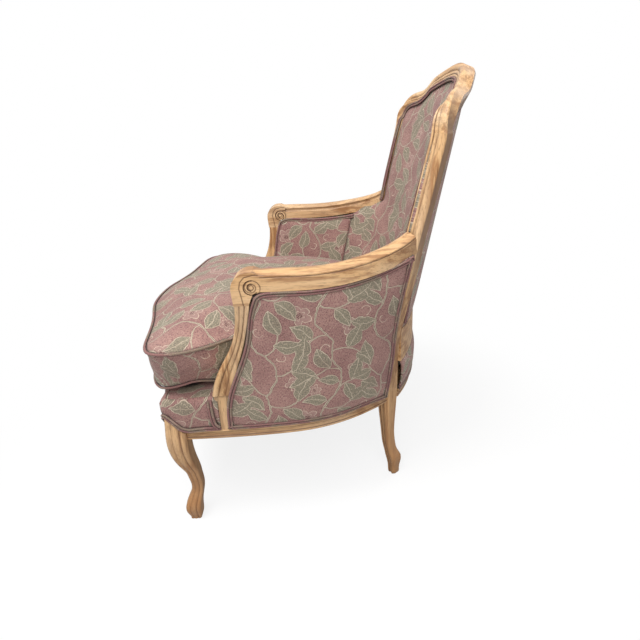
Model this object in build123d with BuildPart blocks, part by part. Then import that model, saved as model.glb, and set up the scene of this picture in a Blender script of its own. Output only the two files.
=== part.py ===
from build123d import *
import math
import os

# Louis XV style bergere armchair, in millimetres. +Z is up, the chair faces -Y and +X is the sitter's left.
# The origin is on the floor, under the middle of the chair's box. Lines and shapes are given for the
# sitter's left half and mirrored.

box_middle_y = 10.2  # middle of the chair's box, from the y = 0 that the lines below are drawn to

# --- Seat rails ---
rail_bottom = 232.0  # floor to the underside of the seat rails
rail_height = 62.0
rail_thickness = 26.0
rail_show = 23.0  # moulded strip left bare under the covers
rebate = 6.5  # depth of the step that takes a cover's edge
cover = 6.0  # thickness of a tacked cover with its lining
clearance = 0.3  # gap between a soft piece and what is beside it
frame_gap = 1.0  # gap between the covers of the back and the moulded frame round them
rail_top = rail_bottom + rail_height
show_top = rail_bottom + rail_show

# Outer face of the rails in plan, from front to back.
side_rail_line = [(300, -268), (303, -160), (302, -70), (295, 10), (274, 82), (243, 142), (208, 192)]
front_rail_line = [(268, -289), (200, -318), (110, -341), (0, -348)]
back_rail_line = [(188, 221), (140, 247.5), (75, 269.5), (0, 278)]

# --- Front legs: height, distance out along the diagonal from the knee, side of the square section ---
knee_x = 286.0
knee_y = -283.0
front_leg_shape = [
    (0, -10, 25),
    (9, -10.5, 29),
    (30, -8, 36),
    (53, -14, 33),
    (72, -22.5, 28),
    (100, -24, 27.5),
    (127, -20, 30),
    (154, -11.5, 36.5),
    (182, -3.5, 42),
    (208, 0.6, 45.5),
    (238, 1.8, 46.5),
    (268, 0.3, 45),
    (300, -1.8, 42.5),
]
knee_peak = 300.0  # height of the knee's point, at its corner
knee_flank = show_top  # height of the knee's edge where it meets the rails

leg_joint = 45.0  # side of the square that the rails meet at the top of a front leg
knee_half = 23.0  # from the middle of a knee to its corner

# --- Rear legs and stiles: height, centre x, centre y, turn in degrees, width, depth ---
stile_shape = [
    (0, 190, 210, 38, 18, 17),
    (12, 190, 211, 38, 24, 23),
    (34, 190, 211, 38, 28, 26),
    (54, 190, 209.5, 38, 32, 31),
    (72, 190, 203.5, 38, 28, 27),
    (96, 190, 198, 38, 27, 26),
    (126, 190, 195, 38, 28, 26),
    (165, 189.5, 193.5, 38, 32, 28),
    (205, 188.5, 193, 38, 36, 33),
    (250, 187, 194, 38, 38, 36),
    (320, 197, 195, 38, 38, 32),
    (400, 213, 197, 38, 38, 30),
    (510, 232, 214, 38, 38, 29),
    (590, 244, 231, 38, 38, 28),
    (650, 249.5, 241.5, 39, 38, 28),
    (706, 252, 254, 40, 38, 28),
    (764, 253, 267.5, 40, 38, 28),
    (822, 253.5, 280.5, 40, 38, 28),
    (872, 253, 291, 40, 37, 28.5),
]

# --- Crest: centre line x and z, how far its face turns outward and upward, width, depth ---
crest_shape = [
    (250.5, 892, 0.55, 0.05, 36, 29),
    (243.5, 911, 0.42, 0.16, 35, 30),
    (229, 925.5, 0.26, 0.26, 34, 30),
    (208, 934, 0.14, 0.3, 33, 31),
    (184, 939, 0.08, 0.32, 32, 31),
    (166, 945.5, 0.05, 0.33, 32, 32),
    (151, 956, 0.04, 0.34, 33, 32),
    (137, 968, 0.03, 0.34, 33, 32),
    (116, 976.5, 0.02, 0.34, 33, 33),
    (80, 985.5, 0.01, 0.34, 33, 34),
    (40, 992, 0.0, 0.34, 34, 34),
    (0, 994.5, 0.0, 0.34, 34, 34),
]
back_centre_y = 366.0  # middle of the back frame at the height of the shoulders
shoulder_z = 880.0
rake = math.tan(math.radians(11))
bow_radius = 455.0

# --- Cross rail low on the back ---
cross_rail_bottom = 350.0
cross_rail_top = 432.0
cross_rail_thickness = 24.0
cross_rail_line = [(216, 222), (190, 236), (150, 253), (75, 273.5), (0, 280)]

# --- Arms: centre line x, y, top z and width, from the scroll to the stile ---
arm_width = 40.0
arm_depth = 40.0
arm_x = 310.0
arm_line = [
    (arm_x, -84, 626, arm_width),
    (310.5, -30, 626, arm_width),
    (310, 30, 627, arm_width),
    (305, 88, 633, arm_width),
    (293, 140, 643, arm_width),
    (277, 184, 655, 39),
    (263, 215, 668, 37),
    (256, 229, 676, 35),
]
scroll_front = -126.0
scroll_bottom = 558.0
scroll_eye_y = -87.0
scroll_eye_z = 595.0
scroll_radius = 14.5
carving_depth = 2.2

# --- Arm supports: height, front y, rear y of the show face, centre x, width ---
support_tuck = 14.0  # how far the support runs back behind the covers
support_step = 12.0  # depth of the step in each side that the covers' edges sit in
support_shape = [
    (558, -124, -94, 310, 40),
    (520, -126.5, -102, 308, 38),
    (486, -134, -110, 305, 37),
    (453, -147, -120, 301, 37),
    (425, -162, -130, 297.5, 37),
    (398, -177, -139, 294.5, 37),
    (366, -190, -148, 291, 37),
    (344, -196, -155, 289, 36),
]
foot_front = -193.0  # block under the support, on the side rail
foot_rear = -163.5
foot_face = 301.5

# --- Covers ---
panel_low = [(303, -172), (302, -70), (295, 10), (274, 82), (243, 142), (216, 193), (203, 211)]
panel_high = [(331, -104), (331.5, -30), (331, 30), (326, 88), (314, 140), (296, 190), (278, 240), (265, 259)]
panel_high_z = 640.0
# Outline of the arm covers in side view: up the support, back under the arm, down the stile.
panel_front_edge = [(-162, 257), (-156, 321), (-142, 381), (-122, 438), (-108, 483), (-100, 526), (-91.5, 558)]
panel_top_edge = [(-57, 585), (3, 585), (63, 588), (123, 596), (173, 606), (205, 616), (234, 627)]
panel_turn = (-82, 577)  # on the round corner between the front and top edges
panel_rear_edge = [(228, 590), (218.5, 541), (205, 440), (201, 368), (188.5, 257)]
liner_line = [(301.5, -133), (302, -70), (297, 8), (278.8, 82.9), (245.8, 150.9)]  # batten in the arm's wall
liner_bottom = 344.0
liner_height = 22.0
liner_thickness = 15.0
welt_width = 11.0
welt_height = 5.0
inner_welt_end = 471.0  # the welts inside the arms end at this height, behind the cushion
pad_thickness = 18.0
deck_top = 336.0
arm_pad_low = [(262, -170), (262, -60), (256, 10), (238, 72)]
arm_pad_high = [(290, -104), (290.5, -30), (288, 40), (268, 141)]
back_pad_low = [(236, 76), (206, 124), (152, 171), (100, 195), (50, 206), (0, 209)]
back_pad_mid = [(268, 143), (257, 178), (241, 212), (204, 240), (115, 270), (0, 282)]
back_pad_mid_z = 640.0
back_pad_top_z = 972.0
back_pad_step = 16.0  # how far the inside cover stands in front of the frame's middle, under the crest
back_pad_thickness = 22.0
upper_pad_thickness = 14.0
upper_pad_inset = 24.5  # from the frame's centre line to the edge of the back's pad
outer_back_step = 6.0  # from the frame's middle to the outside back cover
inner_welt_inset = 15.0  # from the frame's centre line to the welts on the back
outer_welt_inset = 22.5

# --- Deck and cushion ---
deck_front_line = [(302, -198), (303, -240), (303, -286), (297, -301), (262, -307), (200, -324), (110, -347), (0, -354)]
deck_back = [(161.5, 226.5), (137, 241), (74, 262), (0, 271)]
stile_notch = [(237, 138), (184, 164), (161.5, 196.5), (161.5, 226.5)]  # round the front of a rear stile
cushion_bottom = deck_top + clearance
cushion_side_top = 458.0
cushion_crown = 505.0
cushion_line = [
    (0, -381),
    (50, -384),
    (120, -374),
    (200, -352),
    (262, -329),
    (291, -314),
    (303, -301),
    (308, -280),
    (305, -238),
    (289, -208),
    (266, -186),
    (257.5, -152),
    (256, -60),
    (250, 8),
    (228, 74),
    (196, 122),
    (146, 163),
    (96, 186),
    (0, 201),
]
cushion_welt = 4.0  # how far a welt stands out from the boxing
cushion_welt_height = 7.0
crown_share = 0.6  # width of the crown's flat top, as a share of the cushion

# --- Under the seat ---
block_depth = 34.0
front_block_line = [
    (273.6, -260),
    (273.6, -205),
    (262, -205),
    (212, -262),
    (212, -284.3),
    (257, -264.8),
    (263, -264.8),
    (265, -260),
]
rear_block_line = [
    (218.8, 128.4),
    (189.6, 168),
    (183, 166.4),
    (160.6, 195.6),
    (160.6, 205.3),
    (131, 222),
    (124, 214),
    (206, 120),
]
dust_inset = 9.0
dust_thickness = 1.2

# --- Springs and dowels ---
spring_wire = 3.4
spring_lines = [-132, -66, 0, 66, 132]
spring_loops = 12
spring_loop_width = 44.0
dowel_radius = 4.0
dowel_length = 40.0
dowel_clearance = 0.1


def bow(x):
    """How far the bowed back has come forward at a distance from its middle."""
    return bow_radius - math.sqrt(bow_radius**2 - x**2)


def back_y(x, z):
    """Middle surface of the bowed and raked back."""
    return back_centre_y + rake * (z - shoulder_z) - bow(x)


def both_halves(points):
    """A line from the left side to the middle, carried on to the right side."""
    return list(points) + [(-x, y) for x, y in reversed(points[:-1])]


def offset_line(points, distance):
    """The points of a plan line, moved to the right of its direction by a distance."""
    moved = []
    for i, (x, y) in enumerate(points):
        x0, y0 = points[max(i - 1, 0)]
        x1, y1 = points[min(i + 1, len(points) - 1)]
        length = math.hypot(x1 - x0, y1 - y0)
        moved.append((x + distance * (y1 - y0) / length, y - distance * (x1 - x0) / length))
    return moved


def strip(z, points, right, left):
    """A flat strip in plan along a line, from one offset to the right of it to one to the left."""
    with BuildSketch(Plane.XY.offset(z)) as flat:
        with BuildLine():
            outer = Spline(*offset_line(points, right))
            inner = Spline(*offset_line(points, -left))
            Line(outer @ 0, inner @ 0)
            Line(outer @ 1, inner @ 1)
        make_face()
    return flat.sketch


def wall(levels, right, left):
    """A wall that leans from one plan line to the next, between two offsets."""
    with BuildPart() as leaning:
        for (z0, line0), (z1, line1) in zip(levels[:-1], levels[1:]):
            loft([strip(z0, line0, right, left), strip(z1, line1, right, left)], ruled=True)
    return leaning.part


def rail_section(plane):
    """Moulded seat rail section. Local x points outward from the rail's face and local y up."""
    t = rail_show
    with BuildSketch(plane) as section:
        with BuildLine():
            b1 = ThreePointArc((-4, 0), (-0.7, 2), (-0.6, 6))
            b2 = ThreePointArc((-1.8, 7.4), (-3.4, t / 2 + 0.4), (-1.8, t - 6.4))
            b3 = ThreePointArc((-0.8, t - 5.4), (0.3, t - 2.6), (-0.8, t))
            Line(b1 @ 1, b2 @ 0)
            Line(b2 @ 1, b3 @ 0)
            step = Polyline(b3 @ 1, (-rebate, t), (-rebate, rail_height), (-rail_thickness, rail_height))
            Polyline(step @ 1, (-rail_thickness, 0), b1 @ 0)
        make_face()
    return section.sketch


def seat_rail(points):
    """A seat rail swept along a plan line whose right side is its outer face."""
    with BuildPart() as rail:
        with BuildLine(Plane.XY.offset(rail_bottom)) as path:
            Spline(*points)
        along = path.line % 0
        sweep(rail_section(Plane(origin=path.line @ 0, x_dir=(along.Y, -along.X, 0), z_dir=-along)), path=path.line)
    return rail.part


def leg_section(z, reach, side):
    """Square section of a front leg, with five reeds round its outer corner."""
    h = side / 2
    g = 0.055 * side
    out = reach / math.sqrt(2)
    with BuildSketch(Plane(origin=(knee_x + out, knee_y - out, z))) as section:
        with BuildLine():
            r1 = ThreePointArc((-h, 0.16 * side - h), (-0.42 * side, 0.03 * side - h), (-0.22 * side, g - h))
            r2 = ThreePointArc(r1 @ 1, (-0.04 * side, -h), (0.14 * side, g - h))
            r3 = ThreePointArc(r2 @ 1, (h - 0.1 * side, 0.1 * side - h), (h - g, -0.14 * side))
            r4 = ThreePointArc(r3 @ 1, (h, 0.04 * side), (h - g, 0.22 * side))
            r5 = ThreePointArc(r4 @ 1, (h - 0.03 * side, 0.42 * side), (h - 0.16 * side, h))
            l1 = Line(r5 @ 1, (0.25 * side - h, h))
            c1 = ThreePointArc(l1 @ 1, (0.07 * side - h, h - 0.07 * side), (-h, h - 0.25 * side))
            Line(c1 @ 1, r1 @ 0)
        make_face()
    return section.sketch


def knee_cut(plane, corner, flank, side=1):
    """Wedge over the knee, beside the post. Its lower edge falls from the knee's point to the rail."""
    out, back = -10 * side, 30 * side
    with BuildPart() as wedge:
        with BuildSketch(plane):
            with BuildLine():
                Polyline(
                    (corner, knee_peak),
                    (flank, knee_flank),
                    (flank + back, knee_flank),
                    (flank + back, knee_peak + 20),
                    (corner + out, knee_peak + 20),
                    (corner + out, knee_peak),
                    close=True,
                )
            make_face()
        extrude(amount=40)
    return wedge.part


def frame_section(plane, width, depth):
    """Moulded section of the back frame. Local x points out of the frame and local y to its rear."""
    w, d = width / 2, depth / 2
    with BuildSketch(plane) as section:
        with BuildLine():
            a1 = ThreePointArc((-w, 4.2 - d), (-w + 3.6, 1 - d), (-w + 0.2 * width, 3.6 - d))
            a2 = ThreePointArc(a1 @ 1, (-w + 0.34 * width, 1.4 - d), (-w + 0.47 * width, 3.2 - d))
            a3 = ThreePointArc(a2 @ 1, (0.42 * w, -d), (w - 3.5, 2.2 - d))
            a4 = ThreePointArc(a3 @ 1, (w - 0.9, 4.4 - d), (w, 7.5 - d))
            Polyline(a4 @ 1, (w, d - 4), (w - 4, d), (-w, d), a1 @ 0)
        make_face()
    return section.sketch


def frame_room(stations):
    """Plain body round the back frame, a little larger, to cut from the covers that meet it."""
    rooms = []
    for plane, width, depth in stations:
        with BuildSketch(plane) as room:
            Rectangle(width + 2 * frame_gap, depth + 2 * frame_gap)
        rooms.append(room.sketch)
    return loft(rooms)


def arm_section(plane, width):
    """Moulded section of an arm. Local x points outward and local y down from the arm's top."""
    w = width / 2
    with BuildSketch(plane) as section:
        with BuildLine():
            top = ThreePointArc((-w + 3, 5), (0, 0), (w - 3, 5))
            bead = ThreePointArc(top @ 1, (w + 0.2, 7.6), (w - 1.2, 11))
            face = Polyline(bead @ 1, (w, 12.5), (w, arm_depth), (-w, arm_depth), (-w, 19))
            cove = ThreePointArc(face @ 1, (-w + 2.6, 14.5), (-w + 1.2, 10))
            ThreePointArc(cove @ 1, (-w, 7.6), top @ 0)
        make_face()
    return section.sketch


def support_section(z, front, rear, x, width):
    """Reeded section of an arm support. Three reeds run down its front and three down its outer face."""
    w = width / 2
    f = front
    r = rear - front
    with BuildSketch(Plane(origin=(x, 0, z))) as section:
        with BuildLine():
            f1 = ThreePointArc((-w, f + 6), (-w + 2, f + 2.5), (-0.34 * width, f + 2.4))
            f2 = ThreePointArc(f1 @ 1, (-0.06 * width, f), (0.22 * width, f + 2.2))
            f3 = ThreePointArc(f2 @ 1, (w - 2.4, f + 1.8), (w - 1.8, f + 0.36 * r))
            s1 = ThreePointArc(f3 @ 1, (w, f + 0.53 * r), (w - 1.8, f + 0.7 * r))
            s2 = ThreePointArc(s1 @ 1, (w, f + 0.85 * r), (w - 1, f + r))
            Polyline(
                s2 @ 1,
                (w - support_step, f + r),
                (w - support_step, f + r + support_tuck),
                (-w + support_step, f + r + support_tuck),
                (-w + support_step, f + r),
                (-w, f + r),
                f1 @ 0,
            )
        make_face()
    return section.sketch


def arm_outline(inset):
    """Outline of an arm's covers in side view, drawn in by a distance."""
    bottom = panel_front_edge[0][1] + inset
    front = offset_line(panel_front_edge, inset)
    top = offset_line(panel_top_edge, inset)
    rear = offset_line([panel_top_edge[-1], *panel_rear_edge], inset)
    corner = (top[-1][0] - inset, top[-1][1])
    with BuildSketch(Plane.YZ) as outline:
        with BuildLine():
            up = Spline((front[0][0], bottom), *front[1:])
            back = Spline(*top[:-1], corner)
            down = Spline(corner, *rear[1:-1], (rear[-1][0], bottom))
            turn = (panel_turn[0] + 0.7 * inset, panel_turn[1] - 0.7 * inset)
            ThreePointArc(up @ 1, turn, back @ 0)
            Line(down @ 1, up @ 0)
        make_face()
    return outline.sketch


def arm_cover(levels, right, left, inset, ring=0.0):
    """A cover or pad of an arm: a leaning wall, kept inside the outline, or only a ring along its edge."""
    with BuildPart() as piece:
        add(wall(levels, right, left))
        extrude(arm_outline(inset), amount=400, mode=Mode.INTERSECT)
        if ring:
            extrude(arm_outline(inset + ring), amount=400, mode=Mode.SUBTRACT)
    return piece.part


def loop(half, out=0.0, share=1.0):
    """Closed plan line round the whole cushion, moved outward, or drawn in to a share of its size."""
    points = both_halves_open(half)
    moved = []
    for i, (x, y) in enumerate(points):
        x0, y0 = points[i - 1]
        x1, y1 = points[(i + 1) % len(points)]
        length = math.hypot(x1 - x0, y1 - y0)
        moved.append((share * (x + out * (y1 - y0) / length), share * (y - out * (x1 - x0) / length)))
    return moved


def both_halves_open(half):
    """The left half and its mirror image, without a second copy of the two points in the middle."""
    return list(half) + [(-x, y) for x, y in reversed(half[1:-1])]


def loop_face(half, z, out=0.0, share=1.0):
    """Flat face inside the closed plan line."""
    with BuildSketch(Plane.XY.offset(z)) as face:
        with BuildLine():
            Spline(*loop(half, out, share), periodic=True)
        make_face()
    return face.sketch


def cushion_ring(z):
    """Plain band for a welt round the cushion."""
    with BuildPart() as ring:
        extrude(loop_face(cushion_line, z, cushion_welt), amount=cushion_welt_height)
        extrude(loop_face(cushion_line, z, 0.1), amount=cushion_welt_height, mode=Mode.SUBTRACT)
    return ring.part


def dowel(centre, direction, radius=None):
    """A dowel across a joint, or the hole for one where a radius is given."""
    long = dowel_length if radius is None else dowel_length + 1
    axis = Vector(*direction).normalized()
    base = Plane(origin=Vector(*centre) - axis * (long / 2), z_dir=axis)
    with BuildPart() as pin:
        with BuildSketch(base):
            Circle(radius or dowel_radius)
        extrude(amount=long)
    return pin.part


def largest(part):
    """The main solid of a piece, without the scraps that a cut leaves beyond it."""
    return part.solids().sort_by(SortBy.VOLUME)[-1]


def mirrored(part):
    """The same piece for the sitter's right side."""
    return part.mirror(Plane.YZ)


def save(part, name):
    """Write a piece, with the middle of the chair's box over the origin."""
    placed = part.moved(Location((0, -box_middle_y, 0)))
    placed.label = name
    export_step(placed, f"parts/{name}.step")


os.makedirs("parts", exist_ok=True)

# --- Dowels of the left half: middle and direction of each ---
top_z, top_x, top_y, top_turn = stile_shape[-1][:4]
spread = 9.0
across = (math.cos(math.radians(top_turn)), math.sin(math.radians(top_turn)))
crest_dowels = [((top_x + s * spread * across[0], top_y + s * spread * across[1], top_z), (0, 0, 1)) for s in (-1, 1)]
side_dowels = [((knee_x, knee_y + knee_half, rail_bottom + h), (0, 1, 0)) for h in (26, 52)]
front_dowels = [((knee_x - knee_half, knee_y + 5, rail_bottom + h), (1, 0, 0)) for h in (12, 39)]
scroll_dowel = ((arm_x, -110, scroll_bottom), (0, 0, 1))
foot_dowel = ((287, (foot_front + foot_rear) / 2, rail_top), (0, 0, 1))
left_dowels = [*crest_dowels, *side_dowels, *front_dowels, scroll_dowel, foot_dowel]
hole = dowel_radius + dowel_clearance


def holes(joints):
    """The holes for some dowels, as tools to cut with."""
    return [dowel(centre, direction, hole) for centre, direction in joints]


# --- Front legs ---
post_x = 300 - rebate
post_y = -291 + rebate
with BuildPart() as front_leg_left:
    loft([leg_section(*level) for level in front_leg_shape])
    add(knee_cut(Plane.YZ.offset(post_x), knee_y - knee_half, knee_y + knee_half - 2), mode=Mode.SUBTRACT)
    add(knee_cut(Plane.XZ.offset(-post_y), knee_x + knee_half, knee_x - knee_half + 2, -1), mode=Mode.SUBTRACT)
    add(holes(side_dowels + front_dowels), mode=Mode.SUBTRACT)

# --- Rear legs and stiles, each in one piece ---
stile_stations = []
for z, x, y, turn, width, depth in stile_shape:
    angle = math.radians(turn)
    stile_stations.append((Plane(origin=(x, y, z), x_dir=(math.cos(angle), math.sin(angle), 0)), width, depth))
with BuildPart() as back_stile_left:
    loft([frame_section(*station) for station in stile_stations])
    add(holes(crest_dowels), mode=Mode.SUBTRACT)

# --- Crest, from the top of one stile over to the other ---
right_half = [(-x, z, -outward, upward, w, d) for x, z, outward, upward, w, d in reversed(crest_shape[:-1])]
crest_points = crest_shape + right_half
crest_stations = [stile_stations[-1]]
end_z, end_x, end_y, end_turn, end_width, end_depth = stile_shape[-1]
for i, (x, z, outward, upward, width, depth) in enumerate(crest_points):
    x0, z0 = crest_points[i - 1][:2] if i else (end_x, end_z)
    x1, z1 = crest_points[i + 1][:2] if i + 1 < len(crest_points) else (-end_x, end_z)
    along = Vector(x1 - x0, back_y(x1, z1) - back_y(x0, z0), z1 - z0).normalized()
    facing = Vector(outward, -math.sqrt(1 - outward**2 - upward**2), upward)
    facing = (facing - along * facing.dot(along)).normalized()
    out_of_frame = (facing * -1).cross(along)
    crest_stations.append((Plane(origin=(x, back_y(x, z), z), x_dir=out_of_frame, z_dir=along), width, depth))
angle = math.radians(end_turn)
last = Plane(origin=(-end_x, end_y, end_z), x_dir=(-math.cos(angle), math.sin(angle), 0), z_dir=(0, 0, -1))
crest_stations.append((last, end_width, end_depth))
with BuildPart() as crest_rail:
    loft([frame_section(*station) for station in crest_stations])
    crest_holes = holes(crest_dowels)
    add(crest_holes + [mirrored(tool) for tool in crest_holes], mode=Mode.SUBTRACT)

# --- Arm supports, with a plain foot on the side rail ---
with BuildPart() as arm_support_left:
    loft([support_section(*level) for level in support_shape])
    z, front, rear, x, width = support_shape[-1]
    with BuildSketch(Plane.XY.offset(rail_top)):
        with BuildLine():
            Polyline(
                (x - 14, foot_front + 3),
                (x + 10, foot_front),
                (foot_face, foot_front + 4),
                (foot_face, foot_rear),
                (foot_face - rebate - 1, foot_rear),
                (foot_face - rebate - 1, foot_rear + support_tuck),
                (x - 7, foot_rear + support_tuck),
                (x - 7, foot_rear + 8),
                (x - 14, foot_rear + 8),
                close=True,
            )
        make_face()
    extrude(amount=z - rail_top)
    with BuildSketch(Plane.XY.offset(show_top)):
        with Locations((foot_face - 8, (foot_front + foot_rear) / 2)):
            Rectangle(16, foot_rear - foot_front - 8)
    extrude(amount=rail_top - show_top)

# --- Arms, with the scroll block at the front ---
arm_sections = []
for i, (x, y, z, width) in enumerate(arm_line):
    x0, y0, z0 = arm_line[max(i - 1, 0)][:3]
    x1, y1, z1 = arm_line[min(i + 1, len(arm_line) - 1)][:3]
    along = Vector(x1 - x0, y1 - y0, z1 - z0).normalized()
    outward = Vector(y1 - y0, x0 - x1, 0).normalized()
    arm_sections.append(arm_section(Plane(origin=(x, y, z), x_dir=outward, z_dir=along), width))
with BuildPart() as arm_rail_left:
    loft(arm_sections)
    with BuildSketch(Plane.YZ.offset(arm_x - arm_width / 2)):
        with BuildLine():
            start_y = arm_line[0][1]
            top = Line((start_y, 626), (start_y - 12, 625.5))
            nose = Spline(top @ 1, (-114, 617), (-124, 603), (scroll_front, 588), (-125, 574), (-124, scroll_bottom))
            low = Polyline(nose @ 1, (-95, scroll_bottom), (-86, 580), (start_y + 14, 586), (start_y + 14, 620), top @ 0)
        make_face()
    extrude(amount=arm_width)

    for side in (arm_x + arm_width / 2, arm_x - arm_width / 2):
        depth = carving_depth if side < arm_x else -carving_depth
        with BuildSketch(Plane.YZ.offset(side)):
            with BuildLine():
                leaf = Line((scroll_eye_y + 52, 613), (scroll_eye_y, scroll_eye_z + scroll_radius))
                r1 = scroll_radius
                z1 = scroll_eye_z
                turn1 = ThreePointArc(leaf @ 1, (scroll_eye_y - r1, z1), (scroll_eye_y, z1 - r1))
                r2 = 0.78 * r1
                z2 = z1 - r1 + r2
                turn2 = ThreePointArc(turn1 @ 1, (scroll_eye_y + r2, z2), (scroll_eye_y, z2 + r2))
                r3 = 0.5 * r1
                z3 = z2 + r2 - r3
                ThreePointArc(turn2 @ 1, (scroll_eye_y - r3, z3), (scroll_eye_y, z3 - r3))
            trace(line_width=2.4)
        extrude(amount=depth, mode=Mode.SUBTRACT)
    add(back_stile_left.part, mode=Mode.SUBTRACT)
    add(holes([scroll_dowel]), mode=Mode.SUBTRACT)

# --- Seat rails, dowelled between the legs ---
with BuildPart() as side_seat_rail_left:
    add(seat_rail(side_rail_line))
    add([front_leg_left.part, back_stile_left.part], mode=Mode.SUBTRACT)
    add(holes([*side_dowels, foot_dowel]), mode=Mode.SUBTRACT)
with BuildPart() as front_seat_rail:
    add(seat_rail([(-x, y) for x, y in front_rail_line] + list(reversed(front_rail_line[:-1]))))
    add([front_leg_left.part, mirrored(front_leg_left.part)], mode=Mode.SUBTRACT)
    front_holes = holes(front_dowels)
    add(front_holes + [mirrored(tool) for tool in front_holes], mode=Mode.SUBTRACT)
with BuildPart() as back_seat_rail:
    add(seat_rail(both_halves(back_rail_line)))
    add([back_stile_left.part, mirrored(back_stile_left.part)], mode=Mode.SUBTRACT)
with BuildPart() as foot_seat:
    add(arm_support_left.part)
    add(side_seat_rail_left.part, mode=Mode.SUBTRACT)
    add(holes([scroll_dowel, foot_dowel]), mode=Mode.SUBTRACT)
left_pins = [dowel(centre, direction) for centre, direction in left_dowels]

# --- Cross rail low on the back ---
with BuildPart() as back_cross_rail:
    add(strip(cross_rail_bottom, both_halves(cross_rail_line), 0, cross_rail_thickness))
    extrude(amount=cross_rail_top - cross_rail_bottom)
    add([back_stile_left.part, mirrored(back_stile_left.part)], mode=Mode.SUBTRACT)

# --- Arm covers, pads and welts ---
panel_levels = [(show_top, panel_low), (panel_high_z, panel_high)]
outer_arm_cover_left = arm_cover(panel_levels, 0, cover, 0.6)
outer_arm_welt_left = arm_cover(panel_levels, welt_height, -0.1, 0.6, welt_width)
pad_levels = [(deck_top, arm_pad_low), (panel_high_z, arm_pad_high)]
inner_arm_pad_left = arm_cover(pad_levels, pad_thickness, 0, 0.6)
# The inner welt shows above the cushion only.
with BuildPart() as inner_arm_welt_left:
    add(arm_cover(pad_levels, -0.1, welt_height, 0.6, welt_width))
    with BuildSketch(Plane.XY.offset(deck_top - 1)):
        with Locations((arm_x, 0)):
            Rectangle(200, 900)
    extrude(amount=inner_welt_end - deck_top, mode=Mode.SUBTRACT)

with BuildPart() as arm_liner_left:
    add(strip(liner_bottom, liner_line, 0, liner_thickness))
    extrude(amount=liner_height)

# --- Back covers, pad and welts ---
frame_line = [(x, z) for z, x, y, turn, w, d in stile_shape[14:]] + [(x, z) for x, z, o, u, w, d in crest_shape]


def back_outline(inset, bottom):
    """Front view of the space inside the back frame, drawn in from the frame's centre line."""
    line = offset_line(frame_line, -inset)
    line[-1] = (0, line[-1][1])
    foot = (line[0][0], bottom)
    with BuildSketch(Plane.XZ) as outline:
        with BuildLine():
            Spline(*line)
            Polyline(line[0], foot, (0, bottom))
            mirror(about=Plane.YZ)
        make_face()
    return outline.sketch


def back_wall(levels, right, left, inset, bottom, ring=0.0):
    """A cover of the back: a raked wall kept inside the frame's outline, or only a ring along its edge."""
    with BuildPart() as piece:
        add(wall(levels, right, left))
        extrude(back_outline(inset, bottom), amount=-500, mode=Mode.INTERSECT)
        if ring:
            extrude(back_outline(inset + ring, bottom - 10), amount=-500, mode=Mode.SUBTRACT)
    return piece.part


def raked_line(xs, z, step):
    """Plan line of a back cover at a height, a step behind the frame's middle surface."""
    return both_halves([(x, back_y(x, z) + step) for x in xs])


stile_room = frame_room(stile_stations)
back_rooms = [stile_room, mirrored(stile_room), frame_room(crest_stations)]
pad_top_line = both_halves([(x, back_y(x, back_pad_top_z) - back_pad_step) for x in (246, 204, 115, 0)])
upper_levels = [(back_pad_mid_z, both_halves(back_pad_mid[2:])), (back_pad_top_z, pad_top_line)]
lower_levels = [(deck_top, both_halves(back_pad_low)), (back_pad_mid_z, both_halves(back_pad_mid))]
with BuildPart() as over_arms:
    for start, outline in (
        (195, [(60, 583), (123, 596), (173, 608), (207, 615), (207, 700), (60, 700)]),
        (236, [(200, 611), (215, 622.5), (246, 636), (246, 682), (200, 682)]),
    ):
        with BuildSketch(Plane.YZ.offset(start)):
            with BuildLine():
                Polyline(*outline, close=True)
            make_face()
        extrude(amount=110)
    mirror(about=Plane.YZ)
with BuildPart() as lower_pad:
    add(wall(lower_levels, back_pad_thickness, 0))
    add(over_arms.part, mode=Mode.SUBTRACT)
    for room in back_rooms[:2]:
        add(room, mode=Mode.SUBTRACT)
upper_pad = back_wall(upper_levels, upper_pad_thickness, 0, upper_pad_inset, back_pad_mid_z)
inner_back_pad = Compound(children=[upper_pad.solid(), largest(lower_pad.part)])
inner_back_welt = back_wall(upper_levels, -0.1, welt_height, inner_welt_inset, 720, welt_width)

outer_low_line = offset_line(both_halves([(238, 207), *cross_rail_line[1:]]), -cover)
outer_levels = [
    (cross_rail_top, outer_low_line),
    (back_pad_top_z, raked_line((262, 190, 110, 0), back_pad_top_z, outer_back_step)),
]
with BuildPart() as outer_back_cover:
    add(back_wall(outer_levels, cover, 0, 4, cross_rail_top))
    add(back_rooms, mode=Mode.SUBTRACT)
band_levels = [
    (show_top, both_halves([(186, 222.5), (140, 248), (75, 270), (0, 278.5)])),
    (cross_rail_bottom, both_halves([(212, 224), *cross_rail_line[2:]])),
]
with BuildPart() as lower_back_cover:
    add(wall(band_levels, 0, cover))
    add(back_rooms[:2], mode=Mode.SUBTRACT)

with BuildPart() as outer_back_welt:
    welt_bottom = cross_rail_top + clearance
    add(back_wall(outer_levels, cover + welt_height, -cover - 0.1, outer_welt_inset, welt_bottom, welt_width))
    add(back_rooms[:2], mode=Mode.SUBTRACT)
with BuildPart() as lower_back_welt:
    add(wall(band_levels, welt_height, -0.1))
    with BuildSketch(Plane.XY.offset(show_top + welt_width)):
        Rectangle(700, 700)
    extrude(amount=cross_rail_bottom, mode=Mode.SUBTRACT)
    add(back_rooms[:2], mode=Mode.SUBTRACT)

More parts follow.
